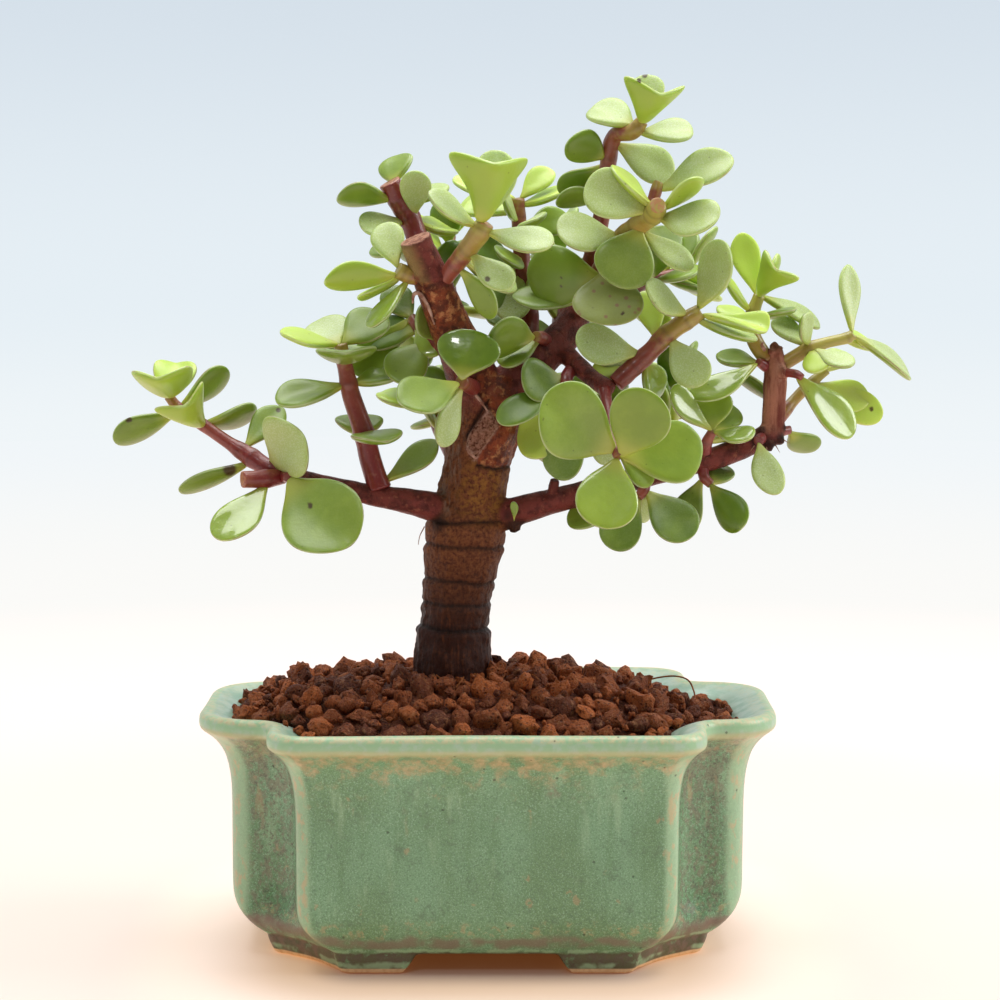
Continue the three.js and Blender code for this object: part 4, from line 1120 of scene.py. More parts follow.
@dataclass(frozen=True)
class Glaze:
    """Satin green glaze that breaks turquoise on edges and brown where it lies thin."""

    body: Tint = tint(126, 176, 134)
    shade: Tint = tint(108, 152, 104)
    fleck: Tint = tint(172, 218, 184)
    dark: Tint = tint(84, 126, 96)
    tan: Tint = tint(208, 180, 136)
    brown: Tint = tint(136, 118, 104)
    edge: Tint = tint(172, 212, 170)
    cream: Tint = tint(216, 208, 164)
    lip: Tint = tint(162, 204, 160)
    inner: Tint = tint(182, 208, 190)
    clay: Tint = tint(252, 216, 168)

    def material(self) -> Material:
        """Builds the glaze. It reads the masks `ridge`, `hollow` and `inside`."""
        m = Mixer("glaze", Roughness=0.36, Coat_Weight=0.2, Coat_Roughness=0.25)
        z = m.wavy(9, 3, 5.0)
        fine = m.wavy(3, 3, 1.6)
        level = m.wavy(12, 2, 0.9)
        ridge, hollow, inside = m.mask("ridge"), m.mask("hollow"), m.mask("inside")
        outer = m.sum(1.0, inside, "SUBTRACT")
        m.colour = m.mix(
            m.step(m.noise(15, 3, 0.5, m.stretched(1, 1, 0.5)), 0.36, 0.66, 0.9), self.body, self.shade
        )
        m.lay(tint(92, 138, 88), m.step(m.noise(4.6, 4, 0.6, m.stretched(1, 1, 0.16)), 0.48, 0.70, 0.5))
        m.lay(self.fleck, m.step(m.noise(0.36, 2, 0.7), 0.50, 0.64, 0.5))
        m.lay(self.dark, m.step(m.noise(0.5, 2, 0.7, m.stretched(1.1, 0.9, 1.0)), 0.50, 0.36, 0.55))
        m.lay(
            tint(92, 122, 96), m.step(m.noise(7, 4, 0.65), 0.52, 0.66, 0.5),
            m.step(m.noise(1.3, 3, 0.7), 0.40, 0.60),
        )
        veins = m.times(
            m.step(m.noise(5.5, 4, 0.6, m.stretched(1, 1, 0.22)), 0.56, 0.70, 0.4), m.step(z, 10, 22)
        )
        m.lay(self.edge, veins)
        mottle = m.noise(1.7, 5, 0.8, m.stretched(1, 1, 0.7))
        stain = m.sum(m.sum(mottle, m.band(z, 16, 10, 0.03)), m.step(z, 30, 48, 0.06))
        m.lay(self.brown, hollow, m.step(stain, 0.48, 0.60, 0.58))
        m.lay(self.fleck, hollow, m.step(m.noise(0.9, 3, 0.8), 0.54, 0.68, 0.4))
        m.lay(
            tint(84, 90, 74), hollow,
            m.step(m.noise(1.0, 3, 0.8, m.stretched(0.9, 1.1, 1.0)), 0.48, 0.36, 0.65),
        )
        ragged = m.sum(m.noise(4.2, 5, 0.68), m.times(m.step(z, 47, 54), 0.14))
        under_lip = m.times(
            m.step(z, 42.0, 51.0), m.step(ragged, 0.50, 0.76, 0.75),
            m.sum(1.0, m.times(hollow, 0.5), "SUBTRACT"),
        )
        m.lay(m.mix(m.step(m.noise(2.0, 4), 0.42, 0.62), self.tan, tint(172, 156, 112)), under_lip)
        drips = m.times(
            m.step(m.noise(7.0, 3, 0.6, m.stretched(1, 1, 0.3)), 0.62, 0.70, 0.45), m.step(z, 26, 46)
        )
        m.lay(self.tan, drips)
        bruise = m.times(
            m.step(m.noise(10, 3, 0.6), 0.60, 0.70, 0.6), m.step(z, 36, 44),
            m.step(m.noise(1.2, 3), 0.4, 0.6),
        )
        m.lay(self.brown, bruise)
        crumbs = m.times(
            m.step(m.cells(6.5, m.stretched(1, 1, 0.8)), 0.20, 0.13),
            m.step(m.noise(2.2, 2), 0.5, 0.58, 0.45), outer,
        )
        m.lay(tint(190, 158, 118), crumbs)
        m.lay(self.brown, m.band(z, 8.2, 2.2, 0.75), m.step(m.noise(8, 3), 0.36, 0.52))
        m.lay(self.tan, m.band(z, 11.8, 2.6, 0.4), m.step(m.noise(2.4, 4, 0.7), 0.50, 0.64))
        m.lay(
            self.edge, m.step(ridge, 0.15, 0.85, 0.8), m.step(m.height(), 8, 12),
            m.blend(m.noise(1.4, 4, 0.7), 0.45, 1.15),
        )
        spots = m.step(m.noise(2.2, 4, 0.6, m.stretched(1, 1, 0.6)), 0.52, 0.62, 0.6)
        m.lay(self.tan, m.step(ridge, 0.45, 0.95), spots)
        foot = m.times(m.step(fine, 6.0, 4.9), outer)
        m.lay(
            m.mix(m.step(m.noise(2.6, 4, 0.7), 0.4, 0.6), tint(88, 84, 58), tint(92, 76, 64)), foot,
            m.step(m.noise(3.4, 4, 0.65), 0.30, 0.46, 0.9),
        )
        low_hollow = m.times(hollow, m.step(z, 12.0, 8.0))
        m.lay(tint(126, 106, 90), low_hollow, m.step(m.noise(2.6, 4, 0.7), 0.40, 0.62, 0.75))
        m.lay(self.edge, m.band(fine, 5.9, 0.7, 0.55), m.step(m.noise(5, 2), 0.42, 0.5), outer)
        m.lay(self.lip, m.step(fine, 55.4, 56.6))
        m.lay(self.inner, m.step(fine, 55.4, 56.6), m.step(m.noise(2.6, 4, 0.65), 0.46, 0.64, 0.55))
        rim_line = m.times(m.band(level, 56.1, 1.3, 0.55), outer)
        m.lay(tint(196, 188, 134), rim_line)
        wash = m.mix(
            m.step(m.noise(5, 4, 0.6, m.stretched(1, 1, 2)), 0.40, 0.64), self.inner, tint(150, 190, 166)
        )
        m.lay(m.mix(m.step(m.noise(9, 3), 0.6, 0.74, 0.5), wash, tint(132, 160, 128)), inside)
        crest = m.times(
            m.band(level, 59.7, 1.3, 0.9), m.sum(1.0, m.times(inside, 0.6), "SUBTRACT"),
            m.step(m.noise(1.6, 4, 0.7), 0.34, 0.62, 0.9),
        )
        m.lay(self.cream, crest)
        m.lay(self.tan, crest, m.step(m.noise(0.9, 2), 0.58, 0.66, 0.5))
        m.lay(self.edge, m.band(fine, 2.1, 1.1, 0.7), m.step(m.noise(5.5, 3), 0.40, 0.56), outer)
        bare = m.step(m.height(), 1.5, 1.1)
        m.lay(m.mix(m.step(m.noise(1.2, 3), 0.4, 0.65), self.clay, tint(240, 198, 148)), bare)
        pin = m.step(m.cells(6.1), 0.062, 0.036)
        m.lay(tint(44, 36, 30), pin, 0.45)
        m.bump(m.noise(0.8, 3, 0.6), 0.06)
        m.bump(m.noise(5, 2), 0.25)
        m.bump(m.sum(1.0, pin, "SUBTRACT"), 0.25)
        return m.done(m.colour, m.blend(bare, 0.36, 0.85))


@dataclass(frozen=True)
class Granulate:
    """Baked reddish-brown clay granules, rough, with a few orange ones."""

    dark: Tint = tint(106, 50, 26)
    mid: Tint = tint(212, 114, 54)
    light: Tint = tint(208, 144, 98)
    orange: Tint = tint(206, 112, 56)

    def material(self) -> Material:
        """Builds the finish. It reads the masks `shade` and `rust`."""
        m = Mixer("soil_granules", Roughness=0.56, Specular_IOR_Level=0.34)
        crumb = m.noise(1.5, 5, 0.72)
        m.colour = m.mix(m.mask("shade"), self.dark, self.mid)
        m.lay(self.light, m.step(crumb, 0.50, 0.70, 0.7))
        m.lay(self.dark, m.step(crumb, 0.47, 0.32, 0.8))
        m.lay(self.orange, m.mask("rust"), m.step(m.noise(1.8, 3), 0.38, 0.62))
        pits = m.step(m.cells(1.25), 0.34, 0.12)
        m.lay(tint(58, 28, 20), pits, 0.55)
        m.bump(m.noise(1.4, 5, 0.75), 1.6)
        m.bump(m.noise(0.6, 3, 0.6), 0.6)
        m.bump(pits, -0.4)
        return m.done(m.colour)


@dataclass(frozen=True)
class Bark:
    """Skin of the wood: ringed brown trunk, maroon branches, peeled and sawn places."""

    brown: Tint = tint(112, 62, 36)
    # grey of a fibrous strip at the left, also painted glints on the trunk's sides
    grey: Tint = tint(140, 112, 94)
    wet: Tint = tint(62, 26, 13)
    ochre: Tint = tint(158, 108, 46)
    peeled: Tint = tint(150, 72, 42)
    maroon: Tint = tint(130, 60, 52)
    olive: Tint = tint(164, 138, 84)
    pale: Tint = tint(196, 156, 140)
    # painted shade in creases, splits and grooves, also the dark crust at collars and dried ends
    black: Tint = tint(24, 13, 10)

    def material(self) -> Material:
        """Builds the bark. It reads one mask for each of its colours; two of them paint shade in the creases
        and glints on the trunk's sides.
        """
        m = Mixer("bark", Roughness=0.6, Specular_IOR_Level=0.25)
        up = m.stretched(1, 1, 0.16)
        fibre = m.noise(0.8, 4, 0.7, up)
        fleck = m.noise(0.9, 5, 0.75)
        m.colour = m.mix(m.step(fleck, 0.42, 0.66, 0.8), self.brown, tint(146, 90, 52))
        m.lay(tint(62, 30, 17), m.step(fleck, 0.52, 0.34, 0.8))
        m.lay(tint(160, 114, 80), m.step(fibre, 0.60, 0.72, 0.4))
        soaked = m.mix(m.step(fibre, 0.5, 0.68, 0.7), self.wet, tint(114, 60, 30))
        soaked = m.mix(m.step(fleck, 0.5, 0.36, 0.7), soaked, tint(36, 16, 9))
        m.lay(soaked, m.mask("wet"))
        m.lay(self.ochre, m.mask("ochre"), m.step(m.noise(1.6, 5, 0.75), 0.44, 0.60, 0.85))
        # grey: a fibrous strip at the left, and painted glints streaked up the trunk's sides
        m.lay(self.grey, m.mask("grey"), m.step(m.noise(1.0, 4, 0.65, up), 0.44, 0.62, 0.8))
        stem = m.mix(m.step(m.noise(2.6, 4, 0.6), 0.42, 0.66), self.maroon, tint(88, 36, 30))
        stem = m.mix(m.step(m.noise(1.6, 4, 0.65), 0.56, 0.70, 0.6), stem, tint(172, 104, 78))
        m.lay(stem, m.mask("maroon"))
        streak = m.noise(3.0, 4, 0.6, m.stretched(1, 1, 0.12))
        m.lay(m.mix(m.step(streak, 0.42, 0.62), tint(124, 58, 48), tint(196, 132, 108)), m.mask("dried"), 0.9)
        m.lay(self.olive, m.mask("olive"), m.step(m.noise(4, 3), 0.25, 0.5, 0.9))
        peel = m.mix(m.step(m.noise(2.4, 5, 0.65), 0.40, 0.60), self.peeled, tint(98, 44, 28))
        peel = m.mix(m.step(m.noise(2.2, 4, 0.65), 0.50, 0.66, 0.8), peel, tint(214, 146, 94))
        m.lay(peel, m.mask("peeled"))
        m.lay(self.pale, m.mask("pale"), m.step(m.noise(0.9, 4, 0.7), 0.36, 0.62))
        sawn = m.mix(m.step(m.noise(1.4, 4, 0.65), 0.40, 0.62), tint(206, 152, 128), tint(150, 86, 70))
        m.lay(sawn, m.mask("cut"))
        # painted shade in the creases, splits and grooves, with the real dark crust at collars and dried ends
        m.lay(self.black, m.mask("crease"), 0.9)
        m.bump(fibre, 0.4)
        m.bump(fleck, 0.45)
        gloss = m.sum(m.mask("maroon"), m.sum(m.mask("peeled"), m.times(m.mask("wet"), 0.8)), "ADD", True)
        return m.done(m.colour, m.blend(gloss, 0.62, 0.34))


@dataclass(frozen=True)
class LeafSkin:
    """Fleshy leaf: grey-green with a fine painted sheen above, clear of it below and darker there as painted
    shade, paler at its foot, with a painted highlight on its rim.
    """

    name: str = "leaf"
    green: Tint = tint(122, 150, 42)
    # fresh yellow-green, brightened as painted light shining through the leaf
    clear: Tint = tint(202, 230, 84)
    # painted shade: the darker green of shaded leaves and of undersides
    shaded_green: Tint = tint(98, 132, 28)
    # painted sheen on the tops of leaves, and painted highlight on their rims
    painted_sheen: Tint = tint(216, 228, 184)
    foot: Tint = tint(198, 202, 92)
    margin: Tint = tint(140, 70, 54)
    wet: bool = False

    def material(self) -> Material:
        """Builds the skin. It reads the masks that each leaf carries."""
        m = Mixer(
            self.name,
            Subsurface_Weight=0.3,
            Subsurface_Radius=(0.8, 1.0, 0.2),
            Subsurface_Scale=0.0022,
            Coat_Weight=1.0 if self.wet else 0.22,
            Coat_Roughness=0.03 if self.wet else 0.24,
        )
        upper, along, rim = m.mask("upper"), m.mask("along"), m.mask("rim")
        # clear yellow-green where the leaf is fresh, partly painted light shining through it
        m.colour = m.mix(m.mask("fresh"), self.green, self.clear)
        # painted shade: darker green on leaves that lie in shade
        m.lay(self.shaded_green, m.mask("shaded_green"))
        cloud = m.noise(5.5, 3, 0.6)
        m.lay(self.clear, m.step(cloud, 0.36, 0.72, 0.14))
        # painted shade: darker green on the underside
        m.lay(self.shaded_green, m.step(upper, 0.3, -0.5, 0.4))
        # painted sheen on the upper side, strongest on leaves that face the light
        above = m.step(upper, -0.1, 0.6)
        speck = m.blend(m.step(m.noise(0.34, 2, 0.6), 0.42, 0.66), 0.55, 1.0)
        haze = m.times(m.mask("painted_sheen"), above, speck, m.blend(cloud, 0.45, 0.95))
        m.lay(self.painted_sheen, haze, 0.95)
        m.lay(self.foot, m.step(along, 0.34, 0.03, 0.7))
        # painted highlight along the rounded rim
        m.lay(self.painted_sheen, m.step(rim, 0.35, 0.85, 0.5), m.step(along, 0.1, 0.4))
        edge = m.times(m.mask("margin"), m.step(rim, 0.7, 0.95, 0.65), m.step(m.noise(4, 2), 0.4, 0.6))
        m.lay(self.margin, edge)
        m.lay(tint(84, 92, 36), m.step(m.cells(3.3), 0.09, 0.05), 0.4)
        m.lay(tint(160, 144, 104), m.mask("scab"), 0.35)
        scab = m.times(m.mask("scab"), m.step(m.cells(2.4), 0.30, 0.16), 0.8)
        m.lay(tint(150, 108, 86), scab)
        m.lay(tint(70, 38, 24), m.step(m.mask("spot"), 0.35, 0.75, 0.9))
        m.bump(m.noise(4.0, 3), 0.16)
        m.bump(m.noise(0.4, 2), 0.02)
        if self.wet:
            m.bump(m.noise(7.0, 2), 0.45)
        return m.done(m.colour, 0.24 if self.wet else m.blend(haze, 0.36, 0.46))


@dataclass(frozen=True)
class StemSkin:
    """Skin of a leafy shoot: maroon, turning brown and olive to its tip, or green while young."""

    foot: Tint = tint(132, 46, 44)
    half: Tint = tint(150, 76, 60)
    tip: Tint = tint(170, 144, 66)
    green: Tint = tint(180, 172, 82)

    def material(self) -> Material:
        """Builds the skin. It reads the masks `age`, `node`, `young` and `cut`."""
        m = Mixer(
            "stem", Roughness=0.36, Subsurface_Weight=0.08, Subsurface_Scale=0.0012, Coat_Weight=0.3,
            Coat_Roughness=0.14,
        )
        age = m.sum(m.sum(m.mask("age"), m.mask("young")), m.times(m.sum(m.noise(2.6, 3), -0.5), 0.6))
        m.colour = m.mix(m.step(age, 0.25, 0.75), self.foot, self.half)
        m.lay(self.tip, m.step(age, 0.86, 1.1))
        m.lay(tint(170, 110, 84), m.step(m.noise(1.2, 3, 0.65), 0.52, 0.7, 0.35))
        m.lay(self.green, m.step(age, 1.2, 1.6, 0.9))
        m.lay(tint(74, 34, 26), m.mask("node"), 0.3)
        m.lay(tint(196, 134, 96), m.step(m.mask("cut"), 0.4, 0.9), m.step(m.noise(0.9, 3), 0.3, 0.6, 0.85))
        m.bump(m.noise(0.9, 3), 0.12)
        return m.done(m.colour)


@dataclass(frozen=True)
class Plastic:
    """Matt black moulded plastic, a little scuffed."""

    def material(self) -> Material:
        """Builds the finish."""
        m = Mixer("screen_plastic", Specular_IOR_Level=0.4)
        scuff = m.noise(1.4, 4, 0.7)
        m.bump(m.noise(0.3, 2), 0.04)
        return m.done(
            m.mix(m.step(scuff, 0.5, 0.7, 0.5), tint(34, 36, 38), tint(72, 74, 74)),
            m.blend(scuff, 0.5, 0.7),
        )


@dataclass(frozen=True)
class Plain:
    """A plain lightly mottled finish for threads and curls of bark."""

    name: str
    main: Tint
    other: Tint
    pitch: float = 60.0
    roughness: float = 0.6

    def material(self) -> Material:
        """Builds the finish."""
        m = Mixer(self.name, Roughness=self.roughness, Specular_IOR_Level=0.2)
        return m.done(m.mix(m.step(m.noise(self.pitch, 2), 0.3, 0.7), self.main, self.other))


# ---- Pot -----------------------------------------------------------------------------------


@dataclass
class Pot:
    """Lofted pot with indented corners, a flared lip, four feet and two drain holes."""

    half_length: float = 63.5
    half_depth: float = 41.0
    front_panel: float = 46.0
    side_panel: float = 20.0
    side_corner: float = 7.0
    front_corner: float = 5.0
    indent_corner: float = 9.0
    foot_height: float = 4.8
    foot_gap: Flat = (17.0, 6.0)  # half the gap on the long and the short sides
    foot_lean: Flat = (4.0, 3.0)  # how much wider it is at the table
    drain_radius: float = 5.5
    drain_at: float = 28.0
    corner_steps: int = 6
    flare_in: float = 0.18  # how much less the long panels widen in the lip
    foot_fill: float = 0.8  # how far the indents flatten to a bevel at the feet
    outer: tuple[Row, ...] = (
        (4.8, -21.0, -17.2), (4.8, -20.0, -16.2), (4.8, -10.0, -4.6), (5.0, -9.1, -3.8), (6.8, -6.0, -2.6),
        (9.8, -2.6, -1.2), (12.2, -0.9, -0.5), (14.8, 0, 0), (20, 0, 0), (27, 0, 0), (34, 0, 0), (41, 0, 0),
        (45, 0.4, 0.4), (48.6, 1.2, 1.2), (51, 2.2, 2.2), (53.1, 3.8, 3.8), (54.6, 5.5, 5.5),
        (55.6, 6.9, 6.9), (56.2, 7.6, 7.6), (57.1, 7.9, 7.9), (58.4, 7.9, 7.9), (59.6, 7.7, 7.7),
        (60.3, 7.0, 7.0),
    )
    inner: tuple[Row, ...] = (
        (60.55, 6.2, 6.2), (60.3, 4.9, 4.9), (59.5, 2.6, 2.6), (58.2, -0.2, -0.2), (56.5, -2.3, -2.3),
        (54.2, -3.8, -3.8), (50, -4.6, -4.6), (40, -4.6, -4.6), (28, -4.6, -4.6), (17, -4.6, -4.6),
        (13.8, -4.8, -4.8), (11.6, -6.2, -6.2), (10.8, -8.6, -8.6), (10.8, -10.0, -10.0),
    )

    def sizes(self, out_x: object, out_y: object) -> tuple[object, ...]:
        """Half lengths of the panels and radii of the corners, with the faces moved outwards.

        Args:
            out_x: How far the short sides move, in millimetres.
            out_y: How far the long sides move.

        Returns:
            Long panel, short panel, side corner, front corner and indent corner.
        """
        front = self.front_panel + out_x - np.maximum(out_x, 0) * self.flare_in
        return (
            front, self.side_panel + out_y, np.maximum(self.side_corner + out_x, 2.5),
            np.maximum(self.front_corner + out_x * 0.6, 2.5),
            np.clip(self.indent_corner - out_x * 0.55, 1.5, 12.0),
        )

    def plan(self, out_x: float, out_y: float, height: float = 99.0) -> np.ndarray:
        """Plan of the pot, anticlockwise, with its faces moved outwards.

        Args:
            out_x: How far the short sides move, in millimetres.
            out_y: How far the long sides move.
            height: Height on the outside, where the indents flatten towards the feet.

        Returns:
            Points, one a row. Panels are stepped at fixed distances from the pot's middle.
        """
        length, depth = self.half_length + out_x, self.half_depth + out_y
        fill = self.foot_fill * float(1 - smooth(5, 17, np.array(height)))
        front, side, bulge, edge, hollow = (float(size) for size in self.sizes(out_x, out_y))
        side += 5.0 * fill

        def arc(x: float, y: float, radius: float, start: float, end: float) -> list[Flat]:
            """Points of a round corner."""
            turns = np.radians(np.linspace(start, end, self.corner_steps + 1))
            return [(x + radius * math.cos(a), y + radius * math.sin(a)) for a in turns]

        def run(start: Flat, end: Flat, shares: Sequence[float]) -> list[Flat]:
            """Points of a straight stretch."""
            return [(start[0] + (end[0] - start[0]) * s, start[1] + (end[1] - start[1]) * s) for s in shares]

        gap_long, gap_short = self.foot_gap
        corner_a = arc(length - bulge, side - bulge, bulge, 0, 90)
        corner_b = arc(front + hollow, side + hollow, hollow, 270, 180)
        corner_c = arc(front - edge, depth - edge, edge, 0, 90)
        notch = [*run(corner_a[-1], corner_b[0], (0.5,)), *corner_b, *run(corner_b[-1], corner_c[0], (0.5,))]
        chord = run(corner_a[-1], corner_c[0], np.linspace(0, 1, len(notch) + 2)[1:-1])
        notch = [(x + (cx - x) * fill, y + (cy - y) * fill) for (x, y), (cx, cy) in zip(notch, chord)]
        quarter = [
            (length, 0.0), (length, gap_short * 0.5), (length, gap_short),
            *run((length, gap_short), corner_a[0], (0.33, 0.67)),
            *corner_a, *notch, *corner_c,
            *run(corner_c[-1], (gap_long, depth), (0.2, 0.4, 0.6, 0.8, 1.0)),
            *run((gap_long, depth), (0, depth), (0.25, 0.5, 0.75)),
        ]
        left = [(-x, y) for x, y in quarter if y > 0][::-1]
        upper = [*quarter, (0.0, depth), *left, (-length, 0.0)]
        lower = [(-x, -y) for x, y in upper[1:-1]]
        return np.array([*upper, *lower])

    def shell(self) -> Piece:
        """Extrudes the wall row by row from the bottom ring, over the lip and down inside."""
        rows = [*self.outer, *self.inner]
        plans = [
            self.plan(out_x, out_y, z if row < len(self.outer) else 99)
            for row, (z, out_x, out_y) in enumerate(rows)
        ]
        count = len(plans[0])
        step = 0.01
        bpy.ops.mesh.primitive_circle_add(vertices=count, radius=1.0)
        pot = Bench.fresh()
        with Bench.editing(pot, "EDGE"):
            bpy.ops.mesh.select_all(action="SELECT")
            for _ in rows[1:]:
                bpy.ops.mesh.extrude_region_move(TRANSFORM_OT_translate={"value": (0, 0, step)})
        ring = Bench.places(pot)
        row_of = np.rint(ring[:, 2] / step).astype(int)
        for i, (row, col) in enumerate(zip(row_of, Bench.columns(ring, count))):
            x, y = plans[row][col]
            ring[i] = placed(Vector((x, y, rows[row][0])))
        Bench.move(pot, ring)
        return pot

    def feet(self, pot: Piece) -> None:
        """Pulls four feet down out of the band round the bottom, and spreads the gaps."""
        gap_long, gap_short = self.foot_gap

        def in_foot(middle: Vector) -> bool:
            """Whether a face lies in one of the feet."""
            x, y = abs(middle.x - MIDDLE.x) / MM, abs(middle.y - MIDDLE.y) / MM
            return abs(middle.z / MM - self.foot_height) < 0.12 and x > gap_long and y > gap_short

        with Bench.editing(pot, "FACE"):
            Bench.choose(pot, in_foot, "FACE")
            for drop, spread in ((0.5, 1.004), (1.6, 0.990), (1.7, 0.984), (0.7, 0.994), (0.3, 0.985)):
                bpy.ops.mesh.extrude_region_move(TRANSFORM_OT_translate={"value": (0, 0, -drop * MM)})
                bpy.ops.transform.resize(value=(spread, 0.7 + spread * 0.3, 1), center_override=tuple(MIDDLE))
        places = Bench.places(pot)
        x, y = (places[:, 0] - MIDDLE.x) / MM, (places[:, 1] - MIDDLE.y) / MM
        low = np.clip((self.foot_height - places[:, 2] / MM) / self.foot_height, 0, 1) ** 1.3
        long_side = (np.abs(y) > self.half_depth - 26) & (np.abs(x) < 40)
        short_side = (np.abs(x) > self.half_length - 34) & (np.abs(y) < 16) & ~long_side
        lean_x = self.foot_lean[0] * low * np.clip(1 - (np.abs(x) - gap_long) / 12, 0, 1)
        lean_y = self.foot_lean[1] * low * np.clip(1 - (np.abs(y) - gap_short) / 8, 0, 1)
        places[:, 0] += np.sign(x) * np.where(long_side, lean_x, 0) * MM
        places[:, 1] += np.sign(y) * np.where(short_side, lean_y, 0) * MM
        Bench.move(pot, places)

    def settle(self, pot: Piece) -> None:
        """Gives the walls and the lip the slight unevenness of a pressed pot."""
        local = Bench.layout(pot)
        up = smooth(12, 40, local[:, 2])
        wave = grain(local, 34, 3.0) * 0.45 * up
        out = local * np.array([1, 1, 0])
        out /= np.maximum(np.linalg.norm(out, axis=1), 1e-6)[:, None]
        lip = smooth(54, 59, local[:, 2])
        local += out * wave[:, None]
        local[:, 2] += lip * (grain(local, 46, 9.0) * 0.35 - 0.25)
        Bench.move(pot, local * MM + np.array(MIDDLE))

    def drains(self, pot: Piece) -> None:
        """Cuts the two drain holes through the floor."""
        for side in (-1, 1):
            bpy.ops.mesh.primitive_cylinder_add(
                vertices=40, radius=self.drain_radius * MM, depth=24 * MM,
                location=placed(Vector((side * self.drain_at, 0, self.foot_height))),
            )
            plug = Bench.rest(Bench.fresh(), "plug")
            Bench.modify(pot, "BOOLEAN", object=plug, operation="DIFFERENCE", solver="EXACT")
            bpy.data.objects.remove(plug)

    def masks(self, pot: Piece) -> None:
        """Paints where the glaze breaks on the upright ridges, the hollows and the inside."""
        local = Bench.layout(pot)
        heights = np.array([row[0] for row in self.outer[3:]])
        out_x = np.interp(local[:, 2], heights, [row[1] for row in self.outer[3:]])
        x, y = np.abs(local[:, 0]), np.abs(local[:, 1])
        panel, short, bulge, edge, hollow = self.sizes(out_x, out_x)
        cut = 1 - math.cos(math.radians(45))
        front = np.hypot(x - (panel - edge * cut), y - (self.half_depth + out_x - edge * cut))
        side = np.hypot(x - (self.half_length + out_x - bulge * cut), y - (short - bulge * cut))
        ridge = np.maximum(1 - smooth(0.6, 4.2, front), (1 - smooth(1.0, 5.5, side)) * 0.9)
        corner = np.hypot(x - (panel + hollow), y - (short + hollow))
        in_corner = 1 - smooth(hollow + 1.5, hollow + 7, corner)
        outer = np.hypot(x - self.front_panel - 9, y - self.side_panel - 10)
        plan_in = self.inside_share(local)
        Bench.paint(
            pot, ridge=ridge * (1 - plan_in),
            hollow=in_corner * (1 - smooth(13, 19, outer)) * (1 - ridge) * (1 - plan_in), inside=plan_in,
        )

    def inside_share(self, local: np.ndarray) -> np.ndarray:
        """1 on the inner face of the wall and lip, 0 outside.

        Args:
            local: Layout places, one a row.

        Returns:
            One value for each place.
        """
        share = np.zeros(len(local))
        levels = np.rint(local[:, 2] * 4).astype(int)
        for level in np.unique(levels[local[:, 2] > 10]):
            z = level / 4
            rim = np.interp(z, (54, 58.3, 59.5, 60.5), (-1.5, 1.6, 4.4, 5.6)) if z > 54 else -2.3
            here = levels == level
            share[here] = outside(local[here, :2], self.plan(rim, rim)) < 0
        return share

    def build(self) -> Piece:
        """Models the pot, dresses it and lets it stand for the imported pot."""
        pot = self.shell()
        self.feet(pot)
        self.settle(pot)
        Bench.modify(pot, "SUBSURF", levels=1, render_levels=1)
        with Bench.editing(pot, "EDGE"):
            bpy.ops.mesh.select_non_manifold(extend=False)
            bpy.ops.mesh.edge_face_add()
        Bench.closed(pot)
        with Bench.editing(pot, "FACE"):
            bpy.ops.mesh.select_face_by_sides(number=12, type="GREATER", extend=False)
            bpy.ops.mesh.quads_convert_to_tris(quad_method="BEAUTY", ngon_method="BEAUTY")
        self.drains(pot)
        self.masks(pot)
        Bench.rest(pot, "glazed_pot", 40)
        Bench.dress(pot, Glaze().material())
        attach(pot, "root")
        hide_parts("pot")
        return pot


# ---- Soil ----------------------------------------------------------------------------------


